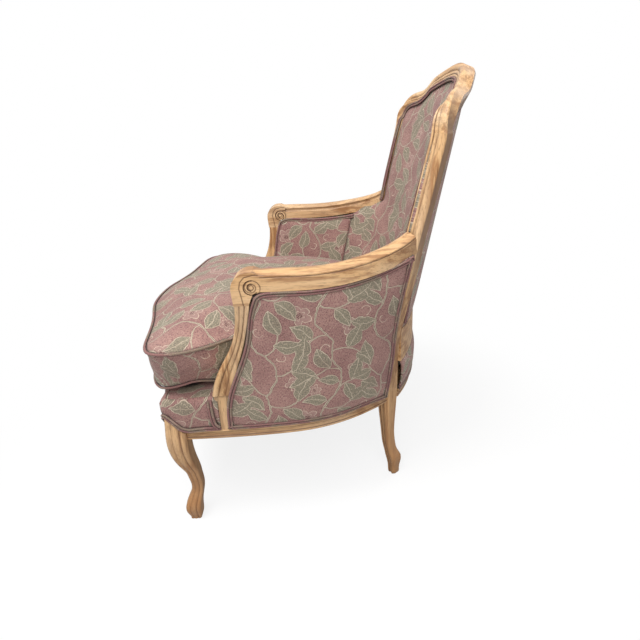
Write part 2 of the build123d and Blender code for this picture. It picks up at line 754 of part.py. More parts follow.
# --- Deck under the cushion, with its cover drawn down over the rails ---
deck_front = [(-x, y) for x, y in deck_front_line] + list(reversed(deck_front_line[:-1]))
inner_side = offset_line(side_rail_line, -cover - 1)[1:-2]
deck_floor = rail_top + spring_wire
with BuildPart() as foot_room:
    with BuildSketch(Plane.XY.offset(show_top)):
        with Locations((292, (foot_front + foot_rear + support_tuck) / 2)):
            Rectangle(36, foot_rear + support_tuck - foot_front + 2 * clearance)
    extrude(amount=panel_high_z - show_top)
    mirror(about=Plane.YZ)
with BuildPart() as knee_room:
    with BuildSketch(Plane.XY.offset(rail_bottom)):
        with Locations((knee_x + 4, knee_y - 4)):
            Rectangle(leg_joint + 46, leg_joint + 46)
    extrude(amount=knee_peak + clearance - rail_bottom)
    mirror(about=Plane.YZ)
with BuildPart() as seat_deck:
    with BuildSketch(Plane.XY.offset(deck_floor)):
        with BuildLine():
            Spline(*deck_front)
            for side in (-1, 1):
                Line((side * deck_front_line[0][0], deck_front_line[0][1]), (side * inner_side[0][0], inner_side[0][1]))
                Spline(*[(side * x, y) for x, y in [*inner_side, stile_notch[0]]])
                Polyline(*[(side * x, y) for x, y in stile_notch])
            Spline(*both_halves(deck_back))
        make_face()
    extrude(amount=deck_top - deck_floor)
    fillet(seat_deck.faces().sort_by(Axis.Z)[-1].edges().group_by(Axis.Y)[0], 12)
    add([foot_room.part, knee_room.part], mode=Mode.SUBTRACT)

# The cover's skirt runs from one arm's foot round the front to the other, over the rails and the knees.
knee_y_out, knee_y_in = knee_y - knee_half, knee_y + knee_half - 2
knee_x_out, knee_x_in = knee_x + knee_half, knee_x - knee_half + 2
below = rail_bottom - 32
beyond = 340
with BuildPart() as knee_below:
    with BuildSketch(Plane.YZ.offset(post_x + 1)):
        with BuildLine():
            edge = Polyline((knee_y_out, knee_peak), (knee_y_in, show_top), (knee_y_in, below))
            Polyline(edge @ 1, (-beyond, below), (-beyond, knee_peak), edge @ 0)
        make_face()
    extrude(amount=40)
    with BuildSketch(Plane.XZ.offset(-post_y + 8)):
        with BuildLine():
            edge = Polyline((knee_x_out, knee_peak), (knee_x_in, show_top), (knee_x_in, below))
            Polyline(edge @ 1, (beyond, below), (beyond, knee_peak), edge @ 0)
        make_face()
    extrude(amount=40)
    mirror(about=Plane.YZ)
with BuildPart() as seat_deck_skirt:
    add(strip(show_top, deck_front, 0, cover - 2))
    extrude(amount=deck_floor - show_top)
    add([knee_below.part, foot_room.part], mode=Mode.SUBTRACT)
low, high = show_top + clearance, knee_peak + clearance
skirt_end = deck_front_line[0][1]
with BuildPart() as deck_welt:
    add(strip(low, deck_front, welt_height, -0.1))
    extrude(amount=high + welt_width - low)
    with BuildSketch(Plane.YZ.offset(knee_x)) as side_band:
        with BuildLine():
            Polyline(
                (skirt_end, low),
                (knee_y_in, low),
                (knee_y_out, high),
                (knee_y_out - 20, high),
                (knee_y_out - 20, high + welt_width),
                (knee_y_out, high + welt_width),
                (knee_y_in + 3, low + welt_width),
                (skirt_end, low + welt_width),
                close=True,
            )
        make_face()
    with BuildPart(mode=Mode.PRIVATE) as bands:
        extrude(side_band.sketch, amount=60)
        mirror(about=Plane.YZ)
        with BuildSketch(Plane.XZ.offset(-knee_y)):
            with BuildLine():
                Polyline(
                    (0, low),
                    (knee_x_in, low),
                    (knee_x_out, high),
                    (knee_x_out, high + welt_width),
                    (knee_x_in - 3, low + welt_width),
                    (0, low + welt_width),
                    close=True,
                )
            make_face()
            mirror(about=Plane.YZ)
        extrude(amount=100)
    add(bands.part, mode=Mode.INTERSECT)

# --- Springs, corner blocks, dust cover ---
with BuildPart() as seat_springs:
    for x in spring_lines:
        front_y = front_rail_line[-1][1] + 14 + 0.0004 * x**2 * 2
        rear_y = back_rail_line[-1][1] - 14 - 0.0008 * x**2 * 2
        pitch = (rear_y - front_y) / spring_loops
        wire = [(x, front_y)]
        for i in range(spring_loops):
            swing = spring_loop_width / 2 * (-1) ** i
            wire += [(x + swing, front_y + (i + 0.25) * pitch), (x + swing, front_y + (i + 0.75) * pitch)]
        wire.append((x, rear_y))
        with BuildSketch(Plane.XY.offset(rail_top)):
            with BuildLine():
                Polyline(*wire)
            trace(line_width=spring_wire)
        extrude(amount=spring_wire)

with BuildPart() as corner_blocks:
    with BuildSketch(Plane.XY.offset(rail_bottom + 8)):
        for outline in (front_block_line, rear_block_line):
            with BuildLine():
                Polyline(*outline, close=True)
            make_face()
        mirror(about=Plane.YZ)
    extrude(amount=block_depth)

with BuildPart() as dust_cover:
    under_side = offset_line(side_rail_line, -dust_inset)
    under_front = [(-x, y) for x, y in front_rail_line] + list(reversed(front_rail_line[:-1]))
    with BuildSketch(Plane.XY.offset(rail_bottom - dust_thickness)):
        with BuildLine():
            front = offset_line(under_front, -dust_inset)
            Spline(*front)
            for side in (-1, 1):
                corner = (side * front[-1][0], front[-1][1])
                Line(corner, (side * under_side[0][0], under_side[0][1]))
                Spline(*[(side * x, y) for x, y in [*under_side[:-2], stile_notch[0]]])
                Polyline(*[(side * x, y) for x, y in stile_notch])
            Spline(*both_halves(deck_back))
        make_face()
    extrude(amount=dust_thickness)
    add(knee_room.part.moved(Location((0, 0, -20))), mode=Mode.SUBTRACT)

# --- Loose cushion ---
with BuildPart() as seat_cushion:
    boxing = cushion_side_top - cushion_bottom
    extrude(loop_face(cushion_line, cushion_bottom), amount=boxing)
    sides = loop_face(cushion_line, cushion_side_top)
    loft([sides, loop_face(cushion_line, cushion_crown, share=crown_share)], ruled=True)
cushion_welt_bottom = cushion_ring(cushion_bottom)
cushion_welt_top = cushion_ring(cushion_side_top - cushion_welt_height / 2)

for name, piece in {
    "front_leg": front_leg_left.part,
    "back_stile": back_stile_left.part,
    "arm_support": foot_seat.part,
    "arm_rail": arm_rail_left.part,
    "side_seat_rail": side_seat_rail_left.part,
    "arm_liner": arm_liner_left.part,
    "outer_arm_cover": outer_arm_cover_left,
    "outer_arm_welt": outer_arm_welt_left,
    "inner_arm_pad": inner_arm_pad_left,
    "inner_arm_welt": inner_arm_welt_left.part,
}.items():
    save(piece, name + "_left")
    save(mirrored(piece), name + "_right")
save(crest_rail.part, "crest_rail")
save(front_seat_rail.part, "front_seat_rail")
save(back_seat_rail.part, "back_seat_rail")
save(back_cross_rail.part, "back_cross_rail")
save(inner_back_pad, "inner_back_pad")
save(inner_back_welt, "inner_back_welt")
save(largest(outer_back_cover.part), "outer_back_cover")
save(lower_back_cover.part, "lower_back_cover")
save(seat_deck.part, "seat_deck")
save(seat_deck_skirt.part, "seat_deck_skirt")
save(deck_welt.part, "deck_welt")
save(seat_springs.part, "seat_springs")
save(corner_blocks.part, "corner_blocks")
save(dust_cover.part, "dust_cover")
save(Compound(children=[*left_pins, *[mirrored(pin) for pin in left_pins]]), "frame_dowels")
save(largest(outer_back_welt.part), "outer_back_welt")
save(lower_back_welt.part, "lower_back_welt")
save(seat_cushion.part, "seat_cushion")
save(cushion_welt_bottom, "cushion_welt_bottom")
save(cushion_welt_top, "cushion_welt_top")
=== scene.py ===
import math

import bpy
import numpy as np
from bpy.props import FloatProperty, FloatVectorProperty, PointerProperty
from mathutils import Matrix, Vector


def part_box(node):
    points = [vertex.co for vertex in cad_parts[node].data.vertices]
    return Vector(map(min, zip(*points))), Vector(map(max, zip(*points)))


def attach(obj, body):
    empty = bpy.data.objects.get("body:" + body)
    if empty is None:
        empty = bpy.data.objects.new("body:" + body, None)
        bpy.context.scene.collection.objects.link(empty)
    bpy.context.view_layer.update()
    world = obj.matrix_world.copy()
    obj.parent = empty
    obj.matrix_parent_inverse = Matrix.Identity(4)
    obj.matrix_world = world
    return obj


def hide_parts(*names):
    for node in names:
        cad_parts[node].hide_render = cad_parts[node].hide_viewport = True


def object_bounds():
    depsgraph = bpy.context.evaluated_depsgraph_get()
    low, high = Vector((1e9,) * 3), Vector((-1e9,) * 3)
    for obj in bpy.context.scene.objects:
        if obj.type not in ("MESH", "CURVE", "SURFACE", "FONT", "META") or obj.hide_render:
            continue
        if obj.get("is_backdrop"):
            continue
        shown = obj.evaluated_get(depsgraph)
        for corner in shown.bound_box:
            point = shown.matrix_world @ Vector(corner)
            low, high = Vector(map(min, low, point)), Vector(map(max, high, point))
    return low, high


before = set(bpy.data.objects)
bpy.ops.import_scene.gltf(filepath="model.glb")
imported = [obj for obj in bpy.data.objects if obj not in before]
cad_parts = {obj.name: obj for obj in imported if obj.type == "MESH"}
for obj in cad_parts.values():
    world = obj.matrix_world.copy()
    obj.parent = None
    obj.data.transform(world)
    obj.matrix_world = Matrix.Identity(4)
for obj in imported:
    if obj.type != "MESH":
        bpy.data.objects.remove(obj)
cad_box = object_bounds()

bl_info = {
    "name": "Bergere armchair",
    "version": (1, 0, 0),
    "blender": (4, 5, 0),
    "location": "View3D > Sidebar > Bergere",
    "description": "Covers, cushion, piping and finishes of an armchair with a carved frame",
    "category": "Object",
}

MM = 0.001
MIDDLE_Y = 10.2  # the lines' y = 0 lies this far in front of the origin, in mm

# --- Lines of the covers, in mm: the sitter's left half, mirrored for the right ---
SHOW_TOP = 255.0  # top of the wood that shows along the seat rails
PANEL_FOOT = 256
DECK_TOP = 336.0
PAD_FOOT = 337
ARM_TOP = 640.0  # height that both plan lines of an arm's high edge are drawn at
PANEL_FRONT = [
    (-170, PANEL_FOOT), (-166, 321), (-147, 381), (-123, 438),
    (-109, 483), (-101, 526), (-92.5, 556), (-85, 575),
]
PANEL_TOP = [
    (-85, 575), (-73, 583), (-57, 586), (3, 586), (63, 589),
    (123, 598), (173, 610), (207, 622), (237, 633),
]
PANEL_REAR = [(189, PANEL_FOOT), (202, 368), (206, 440), (219.5, 541), (229, 590), (237, 633)]
PANEL_BOTTOM = [(y, PANEL_FOOT) for y in (-170, -60, 60, 189)]
PAD_FRONT = [
    (-158, PAD_FOOT), (-147, 381), (-125, 438), (-111, 483),
    (-104, 526), (-97, 556), (-91, 577),
]
PAD_TOP = [(-91, 577), (-76, 585), (-57, 588), (3, 586), (63, 589), (110, 595.5), (139, 601)]
PAD_SEAM = [(72, PAD_FOOT), (101, 439), (123, 539), (139, 601)]
PAD_BOTTOM = [(y, PAD_FOOT) for y in (-158, -60, 10, 72)]
PANEL_LOW = [(303, -172), (302, -70), (295, 10), (274, 82), (243, 142), (216, 193), (203, 211)]
PANEL_HIGH = [
    (331, -104), (331.5, -30), (331, 30), (326, 88),
    (314, 140), (296, 190), (278, 240), (265, 259),
]
PAD_LOW = [(262, -170), (262, -60), (256, 10), (236, 76)]
PAD_HIGH = [(290, -104), (290.5, -30), (288, 40), (268, 143)]
BACK_LOW = [(0, 209), (50, 206), (100, 195), (152, 171), (206, 124), (236, 76)]
BACK_MID = [(0, 282), (115, 270), (204, 240), (241, 212), (257, 178), (268, 143)]
BACK_MID_Z = 640
BACK_TOP_Z = 972
STILE_FOOT_Z = 650  # above this the inside back ends at the stile
BACK_INSET = 8.5  # from the stile's centre line to the edge of the inside back
# Where the seam between inside arm and inside back meets the arm rail.
SEAM_TOP_Y, SEAM_TOP_Z = 141, 601
OUTSIDE_LOW = [(0, 274), (75, 267.5), (150, 247), (190, 230), (238, 201)]
OUTSIDE_LOW_Z = 432
BAND_LOW = [(0, 278.5), (75, 270), (140, 248), (188, 221)]
BAND_HIGH = [(0, 280), (75, 273.5), (150, 253), (214, 223)]
DECK_FRONT = [
    (301, -186), (303, -240), (303, -286), (297, -301),
    (262, -307), (200, -324), (110, -347), (0, -354),
]
# Side view of the deck's border: distance out and share of its height.
DECK_BORDER = [
    (0.4, 0.0), (1.6, 0.12), (3.0, 0.3), (4.2, 0.5), (4.6, 0.66),
    (3.6, 0.8), (1.0, 0.9), (-3.5, 0.97), (-10.0, 1.0),
]
DECK_RISER = [
    (303.5, -190, 263), (305.0, -195.5, 270), (306.0, -199.5, 286),
    (305.2, -201.5, 308), (302.0, -202.5, 331),
]
CUSHION_SIDES = [(256, -60), (250, 8), (228, 74), (196, 122), (146, 163), (96, 186), (0, 201)]
CUSHION_TOP = [
    (0, -376), (61, -371), (125, -353), (195, -336), (257, -326), (293, -317), (311, -306),
    (320, -288), (321, -262), (313, -230), (300, -202), (279, -173), (262, -150),
    *CUSHION_SIDES,
]
CUSHION_FOOT = [
    (0, -374), (61, -371), (125, -361), (190, -345), (236, -331), (263, -317), (278, -300),
    (283, -280), (280, -254), (271, -228), (260, -200), (256, -178), (254, -150),
    *CUSHION_SIDES,
]
STILE = [
    (320, 197), (400, 213), (510, 232), (590, 244), (650, 249.5),
    (706, 252), (764, 253), (822, 253.5), (872, 253),
]
CREST = [
    (253, 872), (250.5, 892), (243.5, 911), (229, 925.5), (208, 934), (184, 939), (166, 945.5),
    (151, 956), (137, 968), (116, 976.5), (80, 985.5), (40, 992), (0, 994.5),
]
BACK_CENTRE_Y = 366.0
SHOULDER_Z = 880.0
RAKE = math.tan(math.radians(11))
BOW_RADIUS = 455.0
# Height that the crest's lower edge is followed from, over the ends of the stiles.
CREST_FOOT_Z = 884
DRAWN_IN = 12.0  # most that the inside back is drawn in behind the moulding
# From the crest's centre line to the upper edge of each back panel.
INSIDE_CREST, OUTSIDE_CREST = 9.5, 15.0
BAND_HEIGHT = 94
# How thick each cover is made.
ARM_THICK, ARM_PAD_THICK, BACK_PAD_THICK, BACK_THICK, BORDER_THICK = 5.0, 14.0, 12.0, 5.0, 3.0
INSIDE_WIDTH, OUTSIDE_WIDTH = 241, 238  # half of each back panel's width below the crest
# Where each cover's middle lies on the cloth, in mm, and how much its cloth is stretched.
INSIDE_CLOTH, OUTSIDE_CLOTH, BAND_CLOTH = (137, 1.02), (411, 1.08), (90, 1.06)
BORDER_CLOTH = 33
MIRROR_SHIFT = 0.713  # the right side's cloth is the left's turned over and moved on, in metres
MIRROR_X = np.array([-1, 1, 1])  # a point of the left half times this is its mirror image


def place(point):
    """A point of the chair's lines, in metres over the origin."""
    return (point[0] * MM, (point[1] - MIDDLE_Y) * MM, point[2] * MM)


def smooth(points, count, closed=False):
    """Evenly spaced points on a smooth line through the given ones."""
    p = np.array(points, float)
    if closed:
        p = np.concatenate([p[-4:], p, p[:5]])
    t = run_along(p)
    n = len(p)
    h = np.diff(t)
    a = np.eye(n)
    b = np.zeros_like(p)
    for i in range(1, n - 1):
        a[i, i - 1 : i + 2] = h[i - 1], 2 * (h[i - 1] + h[i]), h[i]
        b[i] = 6 * ((p[i + 1] - p[i]) / h[i] - (p[i] - p[i - 1]) / h[i - 1])
    curve = np.linalg.solve(a, b)
    first, last = (t[4], t[n - 5]) if closed else (0, t[-1])
    s = np.linspace(first, last, 40 * n)
    i = np.clip(np.searchsorted(t, s, side="right") - 1, 0, n - 2)
    u = (s - t[i])[:, None]
    w = (t[i + 1] - s)[:, None]
    g = h[i][:, None]
    line = (curve[i] * w**3 + curve[i + 1] * u**3) / (6 * g)
    line += (p[i] / g - curve[i] * g / 6) * w + (p[i + 1] / g - curve[i + 1] * g / 6) * u
    return even(line, count, closed)


def even(line, count, closed=False):
    """The same line with its points spaced evenly. A closed one doesn't repeat its first point."""
    line = np.array(line, float)
    length = run_along(line)
    s = np.linspace(0, length[-1], count + 1 if closed else count)
    spaced = np.stack([np.interp(s, length, line[:, k]) for k in range(line.shape[1])], axis=1)
    return spaced[:-1] if closed else spaced


def run_along(line):
    """How far each point of a line is from its first, along it."""
    return np.concatenate([[0], np.cumsum(np.linalg.norm(np.diff(line, axis=0), axis=1))])


def unit(vectors):
    return vectors / np.linalg.norm(vectors, axis=1)[:, None]


def run_directions(line, closed):
    """Which way a line runs at each of its points."""
    ahead, behind = np.roll(line, -1, axis=0), np.roll(line, 1, axis=0)
    if not closed:
        ahead[-1], behind[0] = line[-1], line[0]
    return unit(ahead - behind)


def turned(directions):
    """Level directions turned a quarter clockwise."""
    return np.stack([directions[:, 1], -directions[:, 0]], axis=1)


def level(directions):
    """Directions in plan as directions in space."""
    return np.column_stack([directions, np.zeros(len(directions))])


def clamped(share):
    return min(1.0, max(0.0, share))


def both_sides(line):
    """A line that starts or ends on the middle plane, with its mirror image before or after it."""
    if abs(line[0][0]) < abs(line[-1][0]):
        return np.concatenate([(line * MIRROR_X)[::-1][:-1], line])
    return np.concatenate([line[:-1], (line * MIRROR_X)[::-1]])


def between(low, high, share):
    """A plan line part of the way from a low one to a high one."""
    return low + (high - low) * share


def wall(low, high, low_z, high_z):
    """The surface of a leaning wall: its point for any y and z on it."""
    low, high = smooth(low, 200), smooth(high, 200)

    def at(y, z):
        line = between(low, high, (z - low_z) / (high_z - low_z))
        return (float(np.interp(y, line[:, 1], line[:, 0])), y, z)

    return at


def back_y(x, z):
    """Middle surface of the bowed and raked back."""
    return BACK_CENTRE_Y + RAKE * (z - SHOULDER_Z) - (BOW_RADIUS - math.sqrt(BOW_RADIUS**2 - x**2))


# --- Mesh helpers ---


def clear_selection():
    bpy.ops.object.select_all(action="DESELECT")


def edit_all(piece, *steps):
    """Run operators, each with its settings, in edit mode with the whole mesh selected."""
    only(piece)
    bpy.ops.object.mode_set(mode="EDIT")
    bpy.ops.mesh.select_all(action="SELECT")
    for operator, settings in steps:
        operator(**settings)
    bpy.ops.object.mode_set(mode="OBJECT")


def point_outwards(piece):
    edit_all(piece, (bpy.ops.mesh.normals_make_consistent, {"inside": False}))


def apply_modifier(piece, kind, **settings):
    only(piece)
    modifier = piece.modifiers.new("step", kind)
    for key, value in settings.items():
        setattr(modifier, key, value)
    bpy.ops.object.modifier_apply(modifier=modifier.name)


def only(piece):
    clear_selection()
    piece.select_set(True)
    bpy.context.view_layer.objects.active = piece


def new_piece(name, verts, faces, uvs=None):
    """A mesh object from points in metres. uvs are its corners' places on the cloth, in metres."""
    mesh = bpy.data.meshes.new(name)
    mesh.from_pydata([tuple(v) for v in verts], [], [tuple(f) for f in faces])
    if uvs is not None:
        layer = mesh.uv_layers.new(name="cloth")
        layer.data.foreach_set("uv", np.array(uvs, np.float32).ravel())
    piece = bpy.data.objects.new(name, mesh)
    bpy.context.scene.collection.objects.link(piece)
    mesh.shade_smooth()
    return piece


def grid_piece(name, rows, cloth, thickness, flip=False):
    """A closed shell from rows of points in mm, with a place on the cloth for each."""
    count_v, count_u = len(rows), len(rows[0])
    verts = [place(p) for row in rows for p in row]
    faces, uvs = [], []
    for j in range(count_v - 1):
        for i in range(count_u - 1):
            a = j * count_u + i
            face = [a, a + 1, a + count_u + 1, a + count_u]
            if flip:
                face.reverse()
            faces.append(face)
            uvs += [tuple(cloth[k // count_u][k % count_u]) for k in face]
    piece = new_piece(name, verts, faces, np.array(uvs) * MM)
    apply_modifier(piece, "SOLIDIFY", thickness=thickness * MM, offset=-1.0)
    return piece


def sweep_piece(name, points, normals, profile, closed=False, shift=0.0):
    """Piping: a profile carried along points in mm, with its upright side along the normals."""
    points, normals = np.array(points, float), np.array(normals, float)
    n, k = len(points), len(profile)
    along = run_directions(points, closed)
    normals = unit(normals - along * (normals * along).sum(1)[:, None])
    across = np.cross(along, normals)
    length, around = run_along(points), run_along(profile)
    round_length = length[-1] + math.dist(points[-1], points[0])
    round_profile = around[-1] + math.dist(profile[-1], profile[0])
    rings = [p + a * x + u * y for p, a, u in zip(points, across, normals) for x, y in profile]
    verts = [place(p) for p in rings]
    faces, uvs = [], []
    for i in range(n if closed else n - 1):
        here, there = i * k, ((i + 1) % n) * k
        s0, s1 = length[i : i + 2] if i + 1 < n else (length[-1], round_length)
        for j in range(k):
            q = (j + 1) % k
            faces.append([here + j, there + j, there + q, here + q])
            r0, r1 = around[j : j + 2] if q else (around[-1], round_profile)
            uvs += [(s0, r0 + shift), (s1, r0 + shift), (s1, r1 + shift), (s0, r1 + shift)]
    if not closed:
        faces.append(list(reversed(range(k))))
        faces.append([(n - 1) * k + j for j in range(k)])
        uvs += [(0, shift)] * (2 * k)
    piece = new_piece(name, verts, faces, np.array(uvs) * MM)
    point_outwards(piece)
    return piece


def mirrored(piece, name):
    """A copy of a finished piece for the sitter's right side, with its own mesh."""
    only(piece)
    copy = piece.copy()
    copy.data = piece.data.copy()
    copy.name = copy.data.name = name
    bpy.context.scene.collection.objects.link(copy)
    mesh = copy.data
    co = np.empty(len(mesh.vertices) * 3, np.float32)
    mesh.vertices.foreach_get("co", co)
    co[0::3] *= -1
    mesh.vertices.foreach_set("co", co)
    mesh.flip_normals()
    uv = mesh.uv_layers[0].data
    flat = np.empty(len(uv) * 2, np.float32)
    uv.foreach_get("uv", flat)
    flat[0::2] = MIRROR_SHIFT - flat[0::2]
    uv.foreach_set("uv", flat)
    return copy


def double_welt(radius):
    """Profile of two cords side by side under one strip of cloth."""
    ring = []
    for centre, start, end in ((-radius, 215, 8), (radius, 172, -35)):
        for angle in np.linspace(math.radians(start), math.radians(end), 9):
            across, up = radius * math.cos(angle), radius * math.sin(angle)
            ring.append((centre + across, 0.55 * radius + up))
    return ring


def double_piping(name, points, normals, radius, proud, closed=False):
    """Double piping that stands proud of some points along the directions they face."""
    return sweep_piece(name, points + normals * proud, normals, double_welt(radius), closed)


def cord(radius, sides=14):
    """Profile of one cord."""
    turns = [2 * math.pi * i / sides for i in range(sides)]
    return [(radius * math.cos(turn), radius * math.sin(turn)) for turn in turns]


def finish_piece(piece, body, slot, material, *nodes):
    """Hang a finished piece on its body, give it its finish and let it stand for CAD nodes."""
    piece.data.materials.clear()
    piece.data.materials.append(material)
    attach(piece, body)
    if nodes:
        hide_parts(*nodes)
    return piece


def finish_cover(piece, node, body="frame"):
    """Finish a stuffed piece."""
    finish_piece(piece, body, "floral_tapestry", material("floral_tapestry"), node)


def finish_piping(piece, *nodes, body="frame"):
    finish_piece(piece, body, "double_welt", material("double_welt"), *nodes)


def surface_normals(surface, pairs, step=1.5):
    """Upright directions of a surface at some places on it, both given in its own two measures."""
    normals = []
    for a, b in pairs:
        da = np.array(surface(a + step, b)) - np.array(surface(a - step, b))
        db = np.array(surface(a, b + step)) - np.array(surface(a, b - step))
        n = np.cross(da, db)
        normals.append(n / np.linalg.norm(n))
    return np.array(normals)


def coons(bottom, top, front, rear, count_u, count_v):
    """Grid of places inside four edge lines. bottom and top run along u, the others along v."""
    b, t = smooth(bottom, count_u), smooth(top, count_u)
    f, r = smooth(front, count_v), smooth(rear, count_v)
    grid = np.zeros((count_v, count_u, 2))
    for j in range(count_v):
        v = j / (count_v - 1)
        for i in range(count_u):
            u = i / (count_u - 1)
            blend = (1 - v) * b[i] + v * t[i] + (1 - u) * f[j] + u * r[j]
            low, high = (1 - v) * b, v * t
            corners = (1 - u) * low[0] + u * low[-1] + (1 - u) * high[0] + u * high[-1]
            grid[j, i] = blend - corners
    return grid


def crown(u, v, edge=0.16):
    """How full a stuffed panel is: 0 at its edges and 1 over most of it."""

    def side(s):
        s = min(s, 1 - s) / edge
        return 1.0 if s >= 1 else 1 - (1 - max(s, 0)) ** 2.4

    return side(u) * side(v)


# --- Materials ---


class Value:
    """An output of a node. Sums, products and differences of values are nodes too."""

    def __init__(self, nodes, socket):
        self.nodes, self.socket = nodes, socket

    def __add__(self, other):
        return self.nodes.math("ADD", self, other)

    def __sub__(self, other):
        return self.nodes.math("SUBTRACT", self, other)

    def __rsub__(self, other):
        return self.nodes.math("SUBTRACT", other, self)

    def __mul__(self, other):
        return self.nodes.math("MULTIPLY", self, other)

    def __abs__(self):
        return self.nodes.math("ABSOLUTE", self)

    def times_plus(self, factor, more):
        return self.nodes.math("MULTIPLY_ADD", self, factor, more)

    def other(self, key):
        """Another output of the same node."""
        return Value(self.nodes, self.socket.node.outputs[key])


class Nodes:
    """Short names for adding and joining the nodes of a material or of the world."""

    def __init__(self, owner):
        owner.use_nodes = True
        self.owner, self.tree = owner, owner.node_tree
        self.tree.nodes.clear()

    def add(self, kind, inputs=None, output=0, **settings):
        """One output of a new node, with values or other outputs put into its inputs."""
        node = self.tree.nodes.new("ShaderNode" + kind)
        for key, value in settings.items():
            setattr(node, key, value)
        for key, value in (inputs or {}).items():
            self.put(node.inputs[key], value)
        return Value(self, node.outputs[output]) if node.outputs else None

    def put(self, socket, value):
        if isinstance(value, Value):
            value = value.socket
        if isinstance(value, bpy.types.NodeSocket):
            self.tree.links.new(value, socket)
        else:
            socket.default_value = value

    def math(self, operation, *values, clamp=False):
        return self.add("Math", dict(enumerate(values)), operation=operation, use_clamp=clamp)

    def most(self, *values):
        return self.math("MAXIMUM", *values)

    def least(self, *values):
        return self.math("MINIMUM", *values)

    def vector(self, operation, *values):
        output = "Value" if operation in ("LENGTH", "DOT_PRODUCT") else "Vector"
        return self.add("VectorMath", dict(enumerate(values)), output, operation=operation)

    def dot(self, vector, direction):
        return self.vector("DOT_PRODUCT", vector, direction)

    def scaled(self, vector, factor):
        return self.add("VectorMath", {0: vector, "Scale": factor}, operation="SCALE")

    def mix(self, share, first, second):
        settings = {"data_type": "RGBA", "clamp_factor": True}
        return self.add("Mix", {0: share, 6: first, 7: second}, 2, **settings)

    def tint(self, colour, share, amount, shade):
        """A colour with a shade laid over it, up to an amount, where the share is 1."""
        return self.mix(share * amount, colour, (*shade, 1))

    def ramp(self, value, low, high):
        """0 below low, 1 above high, smooth between."""
        inputs = {"Value": value, "From Min": low, "From Max": high}
        return self.add("MapRange", inputs, interpolation_type="SMOOTHSTEP")

    def noise(self, vector, scale, detail=3.0, rough=0.5, output=0):
        inputs = {"Vector": vector, "Scale": scale, "Detail": detail, "Roughness": rough}
        return self.add("TexNoise", inputs, output)

    def threads(self, cloth, across, along, detail=2.0, rough=0.7):
        """Noise drawn out over the cloth's two directions."""
        return self.noise(self.vector("MULTIPLY", cloth, (across, along, 1.0)), 1.0, detail, rough)

    def hollow(self, reach, samples, inside=False):
        """1 on open surfaces, falling where others stand within reach."""
        settings = {"samples": samples, "only_local": inside}
        return self.add("AmbientOcclusion", {"Distance": reach}, "AO", **settings)

    def finish(self, colour, rough, bump, specular=None, sheen=None, metallic=None):
        """A surface. bump is its strength, its distance in metres and its height, or None."""
        inputs = {
            "Base Color": colour,
            "Roughness": rough,
            "Specular IOR Level": specular,
            "Metallic": metallic,
        }
        if bump:
            keys = ("Strength", "Distance", "Height")
            inputs["Normal"] = self.add("Bump", dict(zip(keys, bump)))
        if sheen:
            inputs["Sheen Weight"], inputs["Sheen Roughness"] = sheen
        inputs = {key: value for key, value in inputs.items() if value is not None}
        return self.add("BsdfPrincipled", inputs)

    def close(self, surface, output="OutputMaterial"):
        """Join the finished surface to the tree's output."""
        self.add(output, {0: surface})
        return self.owner


def material_nodes(name):
    return Nodes(bpy.data.materials.new(name))


# --- Drawing of the cloth, on a square repeat, in cm ---
REPEAT = 26.0
# The two vines run from one edge of the repeat to the other.
VINES = [
    [(3, 0), (4.6, 4.4), (7.4, 7.8), (8.2, 12.2), (6.2, 16.2), (6.6, 20.4), (4.4, 23.4), (3, 26)],
    [
        (16.5, 0), (18.6, 3.8), (18.2, 8.2), (20.4, 12),
        (20, 16.4), (17, 19.4), (15.8, 22.8), (16.5, 26),
    ],
]
# Each stem is the points it passes and its half width.
STEMS = [
    (VINES[0], 0.1),
    (VINES[1], 0.1),
    ([(7.4, 7.8), (10.4, 9.3), (13.4, 8.4)], 0.06),
    ([(8.0, 13), (5.2, 13.6), (2.6, 12.3)], 0.06),
    ([(6.3, 17.6), (9.4, 18.4), (12.2, 16.8)], 0.06),
    ([(18.4, 5.6), (21.4, 4.8), (24.2, 6.6)], 0.06),
    ([(20.4, 13), (23.4, 14), (25.8, 16.8)], 0.06),
    ([(18.2, 18.2), (20.8, 20.2), (21.4, 23.2)], 0.06),
    ([(5.2, 22.6), (2.6, 21.4), (0.6, 18.8)], 0.06),
    ([(18.2, 8.4), (15.6, 10.6), (14.8, 13.6)], 0.06),
    ([(4.2, 3.4), (7.2, 2.4), (10.2, 3.4)], 0.06),
]
